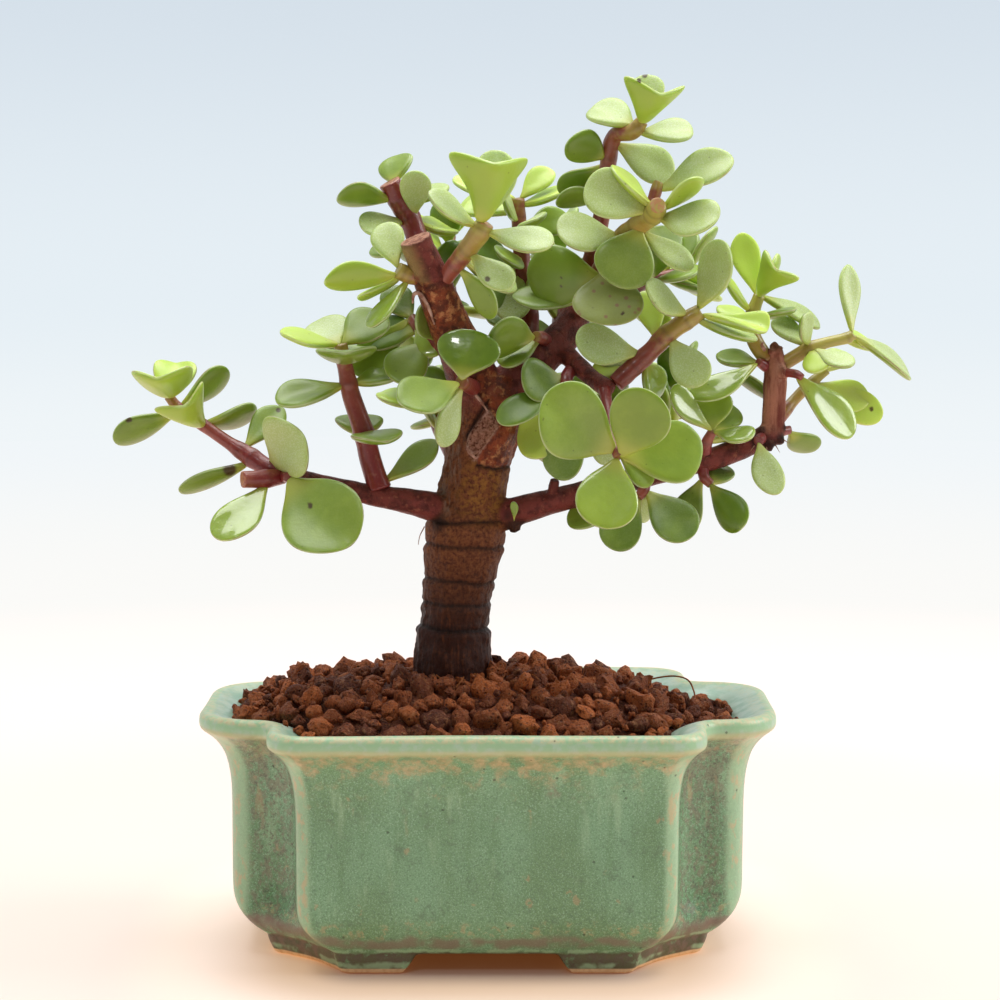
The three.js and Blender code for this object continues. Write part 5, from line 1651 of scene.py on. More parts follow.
@dataclass
class Soil:
    """A mound of crumbly baked granules that fills the pot up to its lip."""

    pot: Pot
    seed: int = 8
    trunk_at: float = -8.7
    edge: float = 57.4
    crown: float = 68.2
    reach: Row = (57.0, 62.0, 38.5)  # to the left, the right, the front and back
    bottom: float = 11.1
    sunk: float = 2.2  # how far the bed lies below the mound
    uneven: float = 0.9  # how far it rises and falls
    ground: Flat = (66.0, 42.0)  # half size of the place in which granules are tried
    wall: float = 4.9  # from the pot's face to its inner face
    trunk_room: float = 9.4  # radius kept free round the trunk
    packing: float = 0.40  # nearest distance of two granules, as a share of both sizes
    rusty: float = 0.05  # share of orange granules
    shapes: int = 12
    sizes: tuple[tuple[float, float, float, int], ...] = (
        # least, most, sink below the surface, tries
        (6.0, 8.4, 0.5, 420), (4.4, 6.2, 0.65, 1800), (3.0, 4.4, 0.8, 4200), (1.6, 2.6, 0.9, 3000),
    )

    def height(self, x: float, y: float) -> float:
        """Height of the mound between its granules.

        Args:
            x: Place from left to right, in millimetres.
            y: Place from front to back.

        Returns:
            Height in millimetres.
        """
        away = x - self.trunk_at
        share = (abs(away) / self.reach[int(away > 0)]) ** 3.4 + (abs(y) / self.reach[2]) ** 2.4
        return self.edge + (self.crown - self.edge) * max(0.0, 1 - share)

    def bed(self) -> Piece:
        """Extrudes the body of the soil up the inside of the pot and closes it with its mound."""
        rows = ((self.bottom, -8.9), *((z, -self.wall) for z in (self.bottom + 3, 30.0, 50.0)), (52.5, -4.7))
        plans = [self.pot.plan(out, out) for _, out in rows]
        count = len(plans[0])
        bpy.ops.mesh.primitive_circle_add(vertices=count, radius=1.0, fill_type="NGON")
        bed = Bench.fresh()
        rings, step = 7, 0.01
        with Bench.editing(bed, "FACE"):
            bpy.ops.mesh.select_all(action="SELECT")
            for _ in range(len(rows) - 1 + rings):
                bpy.ops.mesh.extrude_region_move(TRANSFORM_OT_translate={"value": (0, 0, step)})
            bpy.ops.mesh.poke()
        spots = Bench.places(bed)
        level = np.rint(spots[:, 2] / step).astype(int)
        column = Bench.columns(spots, count)
        top = plans[-1]
        for i in range(len(spots)):
            row = level[i]
            if np.hypot(spots[i][0], spots[i][1]) < 0.5:
                spots[i] = placed(Vector((self.trunk_at, 0, self.height(self.trunk_at, 0) - 2.5)))
                continue
            if row < len(rows):
                x, y = plans[row][column[i]]
                z = rows[row][0]
            else:
                share = 1 - (row - len(rows) + 1) / (rings + 1)
                x = self.trunk_at + (top[column[i]][0] - self.trunk_at) * share
                y = top[column[i]][1] * share
                z = self.height(x, y) - self.sunk + self.uneven * noise.noise(Vector((x / 4, y / 4, 2.0)))
            spots[i] = placed(Vector((x, y, z)))
        Bench.move(bed, spots)
        Bench.closed(bed)
        return bed

    def patterns(self) -> list[Piece]:
        """Models a handful of granules: knocked-about blocks with worn corners."""
        roll = random.Random(self.seed)
        made = []
        for number in range(self.shapes):
            bpy.ops.mesh.primitive_cube_add(size=1.5)
            chunk = Bench.fresh()
            with Bench.editing(chunk):
                bpy.ops.mesh.select_all(action="SELECT")
                bpy.ops.mesh.subdivide(number_cuts=1, smoothness=0.55)
                for _ in range(4):
                    turn = roll.uniform(0, math.tau)
                    tilt = roll.uniform(-1, 1)
                    flat = math.sqrt(1 - tilt**2)
                    away = Vector((math.cos(turn) * flat, math.sin(turn) * flat, tilt))
                    Bench.choose(chunk, lambda place, away=away: place.dot(away) > 0.45)
                    bpy.ops.transform.translate(value=tuple(-away * roll.uniform(0.12, 0.44)))
            Bench.modify(chunk, "SUBSURF", levels=1, render_levels=1)
            spots = Bench.places(chunk)
            spots *= (1 + 0.38 * grain(spots, 0.8, number * 3.1 + 1, 2))[:, None]
            spots /= np.abs(spots).max()
            Bench.move(chunk, spots * (0.52, 0.47, 0.42))
            Bench.closed(chunk)
            made.append(chunk)
        return made

    def spread(self) -> list[tuple[Vector, float]]:
        """Chooses a place and a size for each granule, the largest first.

        Returns:
            Middle in layout millimetres, and size.
        """
        roll = np.random.default_rng(self.seed + 1)
        plan = self.pot.plan(-self.wall, -self.wall)
        laid: list[tuple[Vector, float]] = []
        cells: dict[tuple[int, int], list[Row]] = {}
        for least, most, sink, tries in self.sizes:
            spots = roll.uniform(-np.array(self.ground), self.ground, (tries, 2))
            within = -outside(spots, plan)
            sizes = roll.uniform(least, most, tries)
            lifts = roll.uniform(-0.6, 0.9, tries)
            for (x, y), inner, size, lift in zip(spots, within, sizes, lifts):
                z = self.height(x, y) - size * 0.5 * sink + lift
                room = np.interp(z, (50, 54, 56, 57.5, 59.5), (0, 0.9, 2.4, 4.6, 9.0))
                by_wall = inner < size * 0.42 - room
                by_trunk = math.hypot(x - self.trunk_at, y) < self.trunk_room + size * 0.3
                if by_wall or by_trunk:
                    continue
                cell = (int(x // 8), int(y // 8))
                near = [
                    g
                    for i in (-1, 0, 1)
                    for j in (-1, 0, 1)
                    for g in cells.get((cell[0] + i, cell[1] + j), ())
                ]
                if any(math.hypot(x - gx, y - gy) < self.packing * (size + gs) for gx, gy, gs in near):
                    continue
                cells.setdefault(cell, []).append((x, y, size))
                laid.append((Vector((x, y, z)), size))
        return laid

    def thread(self) -> list[Piece]:
        """A dry root thread at the right and a few fibres at the trunk's foot."""
        lines = [
            (
                [
                    (34, 62.5, 14), (38, 64.2, 16), (42, 65.6, 18), (47, 66.2, 19), (50.5, 65.2, 18),
                    (52, 62.4, 15), (52.4, 60.0, 11),
                ],
                0.22,
            ),
            ([(-13, 66.5, -13), (-11.5, 65.2, -14), (-10.2, 62.6, -16)], 0.16),
            ([(-8, 63.2, -17), (-6.8, 64.8, -16), (-6.0, 66.0, -14)], 0.14),
            ([(-3.5, 66.8, -12), (-1.5, 66.0, -13), (0.6, 64.5, -13)], 0.16),
            ([(8, 65.5, -10), (11, 66.6, -11), (13, 65.2, -13)], 0.14),
        ]
        finish = Plain("root_thread", tint(170, 104, 52), tint(120, 66, 34), 2.0).material()
        even = [(points, (radius,) * len(points)) for points, radius in lines]
        return strands("root_fibre", even, 0.7, 1, finish)

    def build(self) -> Piece:
        """Heaps the granules over the bed, roughens them and dresses the soil."""
        roll = random.Random(self.seed + 2)
        finish = Granulate().material()
        patterns = self.patterns()
        shapes = [Bench.places(p) for p in patterns]
        pieces = [self.bed()]
        Bench.paint(pieces[0], shade=0.0, rust=0.0)
        for middle, size in self.spread():
            which = roll.randrange(len(patterns))
            turn = np.array(Euler([roll.uniform(0, math.tau) for _ in range(3)]).to_matrix())
            stretch = np.array([1.0, roll.uniform(0.85, 1.1), roll.uniform(0.8, 1.05)])
            spots = (shapes[which] * stretch) @ turn.T * size * 1.2
            spots *= (1 + 0.2 * grain(spots + np.array(middle), 1.5, 3.0))[:, None]
            chunk = Bench.copied(patterns[which], spots * MM + np.array(placed(middle)))
            Bench.paint(
                chunk, shade=roll.uniform(-0.1, 1.0),
                rust=0.7 if roll.random() < self.rusty else roll.uniform(0, 0.25),
            )
            pieces.append(chunk)
        LOG.info("soil: %d granules", len(pieces) - 1)
        for pattern in patterns:
            bpy.data.objects.remove(pattern)
        for piece in pieces:
            Bench.dress(piece, finish)
        soil = Bench.joined(pieces)
        soil = Bench.joined([soil, *self.thread()])
        Bench.rest(soil, "soil_mound", 60)
        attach(soil, "root")
        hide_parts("soil")
        return soil


# ---- Wood ----------------------------------------------------------------------------------


@dataclass
class Wood:
    """Ringed trunk, its limbs and branches, with peeled, cracked and sawn places."""

    voxel: float = 0.5
    rod_pitch: float = 1.5  # between the rings of the rods that the skin grows over
    rod_sides: int = 6
    # a groove round the trunk, also painted with shade: its height, its fall from left to right, depth and
    # width
    creases: tuple[Mark, ...] = (
        (79.2, -0.09, 0.65, 0.62), (85.3, -0.04, 0.4, 0.5), (91.1, -0.06, 0.45, 0.5),
        (99.9, -0.04, 0.45, 0.5), (106.2, 0.0, 0.5, 0.5),
    )
    flap: tuple[Flat, ...] = ((0.2, 133.4), (2.6, 129.2), (-2.9, 121.3), (-4.9, 123.6), (-4.6, 127.5))
    bare: tuple[Flat, ...] = (
        (2.0, 129.4), (4.5, 132.5), (9.8, 132.0), (8.8, 126), (6.8, 119.6), (2.0, 118.6), (-2.4, 119.7),
        (-2.7, 121.4),
    )
    bare_top: tuple[Flat, ...] = (
        (-4.8, 139.2), (-1.0, 144), (6, 141.5), (5.2, 133.5), (2.6, 131), (0.4, 133.6)
    )
    lumps: tuple[Mark, ...] = (
        # x, z, depth and size of the crusty bits
        (67.4, 125.6, -4.0, 2.6), (70.4, 124.4, -3.6, 2.8), (73.0, 125.8, -2.6, 2.6),
        (74.0, 129.0, -1.2, 1.4), (68.2, 128.4, -3.2, 1.8), (71.3, 149.4, 0.0, 2.5),
        (70.3, 148.0, -1.6, 1.9), (72.7, 148.4, -1.0, 2.1), (-11.6, 104.6, -6.0, 3.4),
        (-12.4, 107.2, -5.4, 3.0), (6.6, 104.4, -5.6, 3.6), (8.2, 106.0, -5.2, 2.8),
        (5.4, 107.2, -5.8, 2.6),
    )

    def bits(self) -> list[Piece]:
        """Small crusty lumps at the collars and on the dried end."""
        made = []
        for number, (x, z, depth, size) in enumerate(self.lumps):
            bpy.ops.mesh.primitive_ico_sphere_add(subdivisions=2, radius=size * 0.5 * MM)
            bit = Bench.fresh()
            spots = Bench.places(bit)
            rough = grain(spots / MM, size * 0.4, number * 3.7)
            Bench.move(bit, spots * (1 + 0.4 * rough)[:, None] + np.array(placed(sighted(x, z, depth))))
            made.append(bit)
        return made

    def relief(self, wood: Piece) -> None:
        """Works creases, bulges, flaps and fine lumps into the skin, and paints its masks."""
        places = Bench.places(wood)
        normals = Bench.normals(wood)
        local = Bench.layout(wood)
        x, y, z = local.T
        flat = elevation(local)
        ex, ez = flat.T
        trunk = wood_route(TRUNK)
        marks = [k * 0.25 for k in range(trunk.spans * 4 + 1)]
        axis = np.array([trunk.at(k) for k in marks])
        centre = np.interp(z, axis[:, 2], axis[:, 0])
        girth = np.interp(z, axis[:, 2], [trunk.radius(k) for k in marks])
        away = np.hypot(x - centre, y)
        on_trunk = (1 - smooth(girth + 0.6, girth + 2.2, away)) * (1 - smooth(131, 139, z))
        front = smooth(0.25, -0.2, normals[:, 1])
        push = np.zeros(len(places))
        crease = np.zeros(len(places))
        sway = grain(local * np.array([1, 1, 0.4]), 7.0, 4.0) * 0.45
        for height, fall, depth, width in self.creases:
            line = z - (height + fall * (x - centre)) - sway
            cut = np.exp(-((line / width) ** 2)) * on_trunk
            push -= cut * depth
            crease += cut
            push += np.exp(-(((line + 1.4) / 1.2) ** 2)) * on_trunk * 0.22
        turn = np.arctan2(y, x - centre)
        around = np.column_stack([np.cos(turn) * 9, np.sin(turn) * 9, z * 0.16])
        fibres = grain(around, 1.5, 1.0, 2)
        push += fibres * on_trunk * (0.14 + 0.16 * (1 - smooth(76, 84, z)))
        push += grain(local, 5.0, 6.0, 2) * (0.16 + 0.22 * on_trunk)
        push += grain(local, 1.3, 8.0) * (0.05 + 0.12 * on_trunk)
        flap = smooth(0.5, -0.3, outside(flat, self.flap)) * front
        bare = smooth(0.4, -0.3, outside(flat, self.bare)) * front
        bare_top = smooth(0.6, -0.4, outside(flat, self.bare_top)) * front
        rim = np.exp(-((outside(flat, self.flap) / 0.45) ** 2)) * front
        push += flap * (0.7 + 0.5 * grain(local, 1.5, 12.0)) - bare * 0.55 - bare_top * 0.5
        edge_line = self.stroke(flat, ((-5.4, 140.6), (-4.6, 139.4), (0.1, 133.1)), 0.4) * front
        split = self.stroke(flat, ((0.2, 136.0), (-2.6, 131.6), (-5.4, 126.8)), 0.5) * front
        sill = self.stroke(flat, ((-2.6, 119.6), (2.0, 118.5), (6.9, 119.4)), 0.4) * front
        push += edge_line * 0.6 - split * 0.8 - sill * 0.5
        strip = front * smooth(-5.6, -8.0, ex - (ez - 120) * 0.12) * smooth(105, 109, ez) * on_trunk
        push += strip * fibres * 0.35
        low = 1 - smooth(74, 102, z)
        limb = 1 - on_trunk
        ring_a = self.stroke(flat, ((-19, 165.4), (-15, 163.9), (-9, 166.2)), 0.45) * front
        ring_b = self.stroke(flat, ((-19, 166.8), (-15, 165.3), (-9, 167.6)), 0.7) * front
        push += -ring_a * 0.35 + ring_b * 0.25
        dried = smooth(62, 67, x) * smooth(127, 130, z)
        cut, dry = self.ends(local, normals)
        Bench.move(wood, places + normals * (push * MM)[:, None])
        patch = grain(local, 6.5, 21.0, 2)
        front_limb = smooth(
            4.5, -1.0, outside(flat, ((-24, 180), (-13, 180), (-3, 158), (2, 146), (-8, 140), (-16, 158)))
        )
        upper_a = front_limb * smooth(163.6, 165.6, ez + (ex + 15) * 0.25)
        peel_a = front_limb * (1 - upper_a) * smooth(147, 151, ez)
        olive = upper_a * smooth(1.8, -2.5, ex + 15.8 + (ez - 168) * 0.42)
        tan_a = peel_a * smooth(2.6, 0.6, np.hypot(ex + 12.4, (ez - 158.5) * 0.55))
        ochre = smooth(0.1, 0.7, patch) * 0.6 * smooth(96, 108, z)
        ochre_spot = smooth(9, 4, np.hypot(ex + 1, (ez - 113) * 0.8))
        peeled = np.clip(bare + bare_top + peel_a * 0.95 + limb * smooth(0.75, 1.1, patch) * 0.4, 0, 1)
        torn = self.stroke(flat, ((-4.7, 123.8), (-3.3, 121.3)), 0.6) * front
        Bench.paint(
            wood,
            # painted shade in the creases, split, sill and ring groove, with the dark crust and dried skin
            crease=np.clip(
                crease * 0.9 + split + sill + ring_a * 0.5 + dry * 0.4 + self.collars(local), 0, 1
            ),
            wet=np.clip(low * 1.1 + 0.35 * (1 - smooth(77, 81, z)), 0, 1) * on_trunk,
            ochre=on_trunk * np.clip(ochre + front * ochre_spot, 0, 1),
            # grey strip at the left of the front, and painted glints on the sides from 84 mm up
            grey=np.clip(
                strip + on_trunk * smooth(0.25, 0.7, patch) * (1 - front) * smooth(84, 100, z), 0, 1
            ),
            peeled=peeled * (1 - flap) * (1 - edge_line),
            maroon=np.clip(limb * smooth(104, 108, z) * (1 - dried) - peel_a, 0, 1) * (1 - olive * 0.3),
            olive=np.clip(olive + tan_a * 0.8, 0, 1),
            pale=np.clip(flap * 0.4 + rim * 0.6 + edge_line + torn * 0.9, 0, 1),
            cut=cut,
            dried=dried * (1 - 0.5 * smooth(147, 149, z)),
        )

    def stroke(self, flat: np.ndarray, line: Sequence[Flat], half: float) -> np.ndarray:
        """Strength of a drawn line at flat places.

        Args:
            flat: Places on the front elevation.
            line: Points of the line.
            half: Half its width.

        Returns:
            1 on the line, falling to 0 beside it.
        """
        return np.exp(-((beside(flat, line) / half) ** 2))

    def ends(self, local: np.ndarray, normals: np.ndarray) -> tuple[np.ndarray, np.ndarray]:
        """Masks of the sawn faces, and of the dark dried skin round them.

        Args:
            local: Layout places, one a row.
            normals: Normals there.

        Returns:
            The mask of the sawn faces and that of the dried skin.
        """
        cut = np.zeros(len(local))
        dry = np.zeros(len(local))
        for line, length in ((FRONT_LIMB, 1.6), (LIMBS[6], 1.2)):
            route = wood_route(line)
            end, ahead = np.array(route.points[-1]), np.array(route.heading(route.spans))
            gap = np.linalg.norm(local - end, axis=1)
            near = 1 - smooth(route.radii[-1] + 0.3, route.radii[-1] + 2.0, gap)
            facing = smooth(0.35, 0.75, normals @ ahead)
            cut = np.maximum(cut, near * facing)
            dry = np.maximum(dry, near * (1 - facing) * smooth(-length, -0.2, (local - end) @ ahead))
        stub = wood_route(LIMBS[5])
        top = np.array(stub.points[-1])
        dry = np.maximum(dry, 1 - smooth(2.6, 5.6, np.linalg.norm(local - top, axis=1)))
        return cut, dry

    def collars(self, local: np.ndarray) -> np.ndarray:
        """Mask of the dark crust at the collars of the branches.

        Args:
            local: Layout places, one a row.

        Returns:
            One value for each place.
        """
        mask = np.zeros(len(local))
        for x, z, depth, size in self.lumps:
            gap = np.linalg.norm(local - np.array(sighted(x, z, depth)), axis=1)
            mask = np.maximum(mask, (1 - smooth(size * 0.45, size * 0.95, gap)) * (0.8 if z < 140 else 0.3))
        return mask

    def peels(self) -> list[Piece]:
        """Dry curls of bark that stand off the wood."""
        curls = (
            (
                [
                    (-18.6, 160.0, -14), (-18.2, 162.3, -15), (-16.6, 162.2, -15.5), (-14.6, 158.8, -15),
                    (-13.2, 154.8, -13.6),
                ],
                (0.25, 0.5, 0.55, 0.45, 0.2),
            ),
            ([(-5.0, 139.6, -8.6), (-2.6, 136.8, -9.8), (0.1, 133.1, -10.0)], (0.2, 0.42, 0.2)),
            ([(-5.1, 124.6, -9.8), (-4.3, 122.8, -10.4), (-3.1, 121.4, -10.2)], (0.25, 0.5, 0.25)),
            ([(69, 148.4, -1.6), (68.2, 149.6, -2.2), (68.6, 150.4, -2.4)], (0.5, 0.4, 0.2)),
            ([(67.0, 125.2, -4.2), (65.6, 123.0, -5.4)], (0.22, 0.06)),
            ([(69.8, 124.4, -4.2), (69.4, 122.0, -5.2)], (0.22, 0.06)),
            ([(71.6, 125.2, -3.4), (73.0, 122.8, -4.4)], (0.2, 0.05)),
            ([(73.4, 126.4, -2.4), (75.4, 125.0, -3.4)], (0.2, 0.05)),
            ([(-15.8, 104.2, -3.4), (-17.0, 101.8, -3.6), (-17.4, 99.6, -3.4)], (0.16, 0.12, 0.08)),
        )
        finish = Plain("bark_curl", tint(206, 168, 150), tint(142, 96, 78), 1.5).material()
        return strands("bark_curl", curls, 0.6, 2, finish)

    def bud(self, blade: "Blade") -> Piece:
        """The one small leaf that sprouts from the right branch."""
        foot, tip = sighted(6.6, 106.2, -9.4), sighted(6.4, 110.4, -11)
        return blade.grown(foot, tip, Leaf(0, 0, 0, 0, 2.2, 80), random.Random(5))

    def build(self, blade: "Blade", leaf_skin: Material) -> Piece:
        """Grows the rods together into one skin, works it and dresses it.

        Args:
            blade: Pattern of the sprouting leaf.
            leaf_skin: Its finish.

        Returns:
            The wood.
        """
        rods = [
            wood_route(line).tube(f"rod_{n}", self.rod_pitch, self.rod_sides)
            for n, line in enumerate([TRUNK, FRONT_LIMB, *LIMBS])
        ]
        wood = Bench.joined([*rods, *self.bits()])
        Bench.modify(wood, "REMESH", mode="VOXEL", voxel_size=self.voxel * MM, use_smooth_shade=True)
        Bench.modify(wood, "SMOOTH", factor=0.5, iterations=4)
        self.relief(wood)
        Bench.dress(wood, Bark().material())
        sprout = self.bud(blade)
        Bench.modify(sprout, "SUBSURF", levels=2, render_levels=2)
        Bench.dress(sprout, leaf_skin)
        wood = Bench.joined([wood, *self.peels(), sprout])
        Bench.rest(wood, "trunk_and_limbs")
        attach(wood, "root")
        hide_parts("trunk")
        return wood


# ---- Crown ---------------------------------------------------------------------------------


@dataclass
class Blade:
    """One fleshy leaf, modelled once; every leaf of the crown is a copy of it."""

    thickness: float = 3.2
    root: float = 1.2  # how far it is rooted below its foot
    trough: float = 0.6  # fold above which a leaf is a narrow trough
    slim: float = 0.62  # width for its length up to which a leaf keeps its slender foot
    # place along the leaf, half width, half thickness and how much wider a round leaf is there
    rings: tuple[Mark, ...] = (
        (0.05, 0.17, 0.66, 1.15), (0.15, 0.28, 0.82, 1.45), (0.30, 0.56, 0.95, 1.4),
        (0.50, 0.90, 1.0, 1.14), (0.70, 1.0, 0.95, 1.05), (0.87, 0.79, 0.78, 1.08),
        (0.965, 0.43, 0.5, 1.12),
    )
    pattern: Piece | None = field(default=None, init=False)

    def model(self) -> None:
        """Shapes a ball ring by ring into a spoon-shaped blade along +Z, flat towards +Y."""
        bpy.ops.mesh.primitive_uv_sphere_add(segments=12, ring_count=len(self.rings) + 1, radius=1.0)
        blade = Bench.fresh()
        with Bench.editing(blade):
            count = len(self.rings) + 1
            for number, (along, half, thick, _) in enumerate(self.rings, start=1):
                level = -math.cos(math.pi * number / count)
                girth = math.sin(math.pi * number / count)
                Bench.choose(blade, lambda place, level=level: abs(place.z - level) < 1e-3)
                bpy.ops.transform.resize(
                    value=(half / girth, thick / girth, 1), center_override=(0, 0, level)
                )
                bpy.ops.transform.translate(value=(0, 0, along * 2 - 1 - level + 10))
            bpy.ops.mesh.select_all(action="DESELECT")
            Bench.choose(blade, lambda place: place.z > 5)
            bpy.ops.transform.translate(value=(0, 0, -10))
        Bench.closed(blade)
        places = Bench.places(blade)
        along = (places[:, 2] + 1) / 2
        half, thick = self.profile(along, 1, 0.1), self.profile(along, 2, 0.5)
        x, y = places[:, 0] / half, places[:, 1] / thick
        flat = np.where(y > 0, 0.6 + 0.4 * np.abs(x) ** 1.5, 1.08)
        places = np.column_stack([half * x * (1 + 0.13 * (1 - np.abs(x) ** 1.5)), places[:, 1] * flat, along])
        Bench.move(blade, places)
        rim = ((np.abs(x) > 0.98) | (along > 0.99)).astype(float)
        Bench.paint(blade, along=along, upper=np.clip(y, -1, 1), rim=rim)
        blade.hide_render = True
        self.pattern = blade

    def profile(self, along: np.ndarray, column: int, end: float) -> np.ndarray:
        """One column of the rings at places along the leaf, with a value for both its ends."""
        rows = np.array(self.rings)
        return np.interp(along, [0, *rows[:, 0], 1], [end, *rows[:, column], end])

    def grown(self, foot: Vector, tip: Vector, leaf: Leaf, dice: random.Random) -> Piece:
        """A copy of the blade from a foot to a tip.

        Args:
            foot: Where the leaf leaves its stem, in layout millimetres.
            tip: Its far end.
            leaf: Its width, how it is turned and folded, and how its skin looks.
            dice: Source of its small irregularities.

        Returns:
            The leaf.
        """
        length = (tip - foot).length
        along = (tip - foot).normalized()
        up = Vector((0, -math.sin(math.radians(leaf.face)), math.cos(math.radians(leaf.face))))
        up = (up - along * up.dot(along)).normalized()
        up.rotate(Matrix.Rotation(math.radians(leaf.roll), 3, along))
        across = along.cross(up)
        a, b, t = Bench.places(self.pattern).T
        # shares of clear green, painted shade, painted sheen and scab
        fresh, shaded_green, painted_sheen, scab = leaf.look.value
        fold = dice.uniform(0.12, 0.34) if leaf.fold is None else leaf.fold
        full = max(leaf.blunt, min(1.0, (leaf.width / length - self.slim) / 0.35)) * (fold < self.trough)
        a = a * (1 + full * (self.profile(t, 3, 1) - 1))
        if fold > self.trough:
            a = a * np.interp(t, (0, 0.3, 0.5, 0.7, 0.87, 1), (0.8, 0.5, 0.54, 0.84, 1.34, 1.7))
        tipped = dice.uniform(0, 0.35) * (dice.random() < 0.6)
        a = a * (1 - tipped * smooth(0.78, 1.0, t))
        skew = dice.uniform(-0.06, 0.06)
        twist = math.radians(dice.uniform(-9, 9))
        wave = dice.uniform(0, math.tau)
        soft = 1.2 if fold > 0.4 else 2.5
        edge = a * leaf.width / 2 * 1.02
        lift = np.sqrt(edge**2 + soft**2)
        slope = math.atan(fold) * smooth(0.0, 0.45, t)
        lean = slope * edge / lift
        body = b * self.thickness / 2 * (0.55 + 0.45 * min(1.0, leaf.width / 13))
        side = edge * np.cos(slope) - body * np.sin(lean)
        rise = (lift - soft) * np.sin(slope) + body * np.cos(lean)
        ripple = (0.035 if fresh > 0.5 else 0.014) * leaf.width
        bend = dice.uniform(-0.02, 0.09) + leaf.curl
        rise += ripple * np.sin(wave + t * 5 + a * 2.2) * t + length * bend * t * t
        cosine, sine = np.cos(twist * t), np.sin(twist * t)
        side, rise = side * cosine - rise * sine, rise * cosine + side * sine
        side = side + length * skew * np.sin(t * math.pi)
        reach = np.where(t > 0.001, t * length * 1.005, -self.root)
        spots = np.array(foot) + np.outer(reach, along) + np.outer(side, across) + np.outer(rise, up)
        made = Bench.copied(self.pattern, spots * MM + np.array(MIDDLE))
        made.hide_render = False
        jitter = dice.uniform(-0.12, 0.12)
        masks = {"fresh": fresh + jitter, "shaded_green": shaded_green + jitter, "painted_sheen": painted_sheen - jitter, "scab": scab}
        Bench.paint(
            made, **{name: max(0.0, min(1.0, value)) for name, value in masks.items()},
            margin=1.0 if dice.random() < 0.45 else 0.0,
            spot=0.0, age=0.0, node=0.0, young=0.0, cut=0.0,
        )
        return made


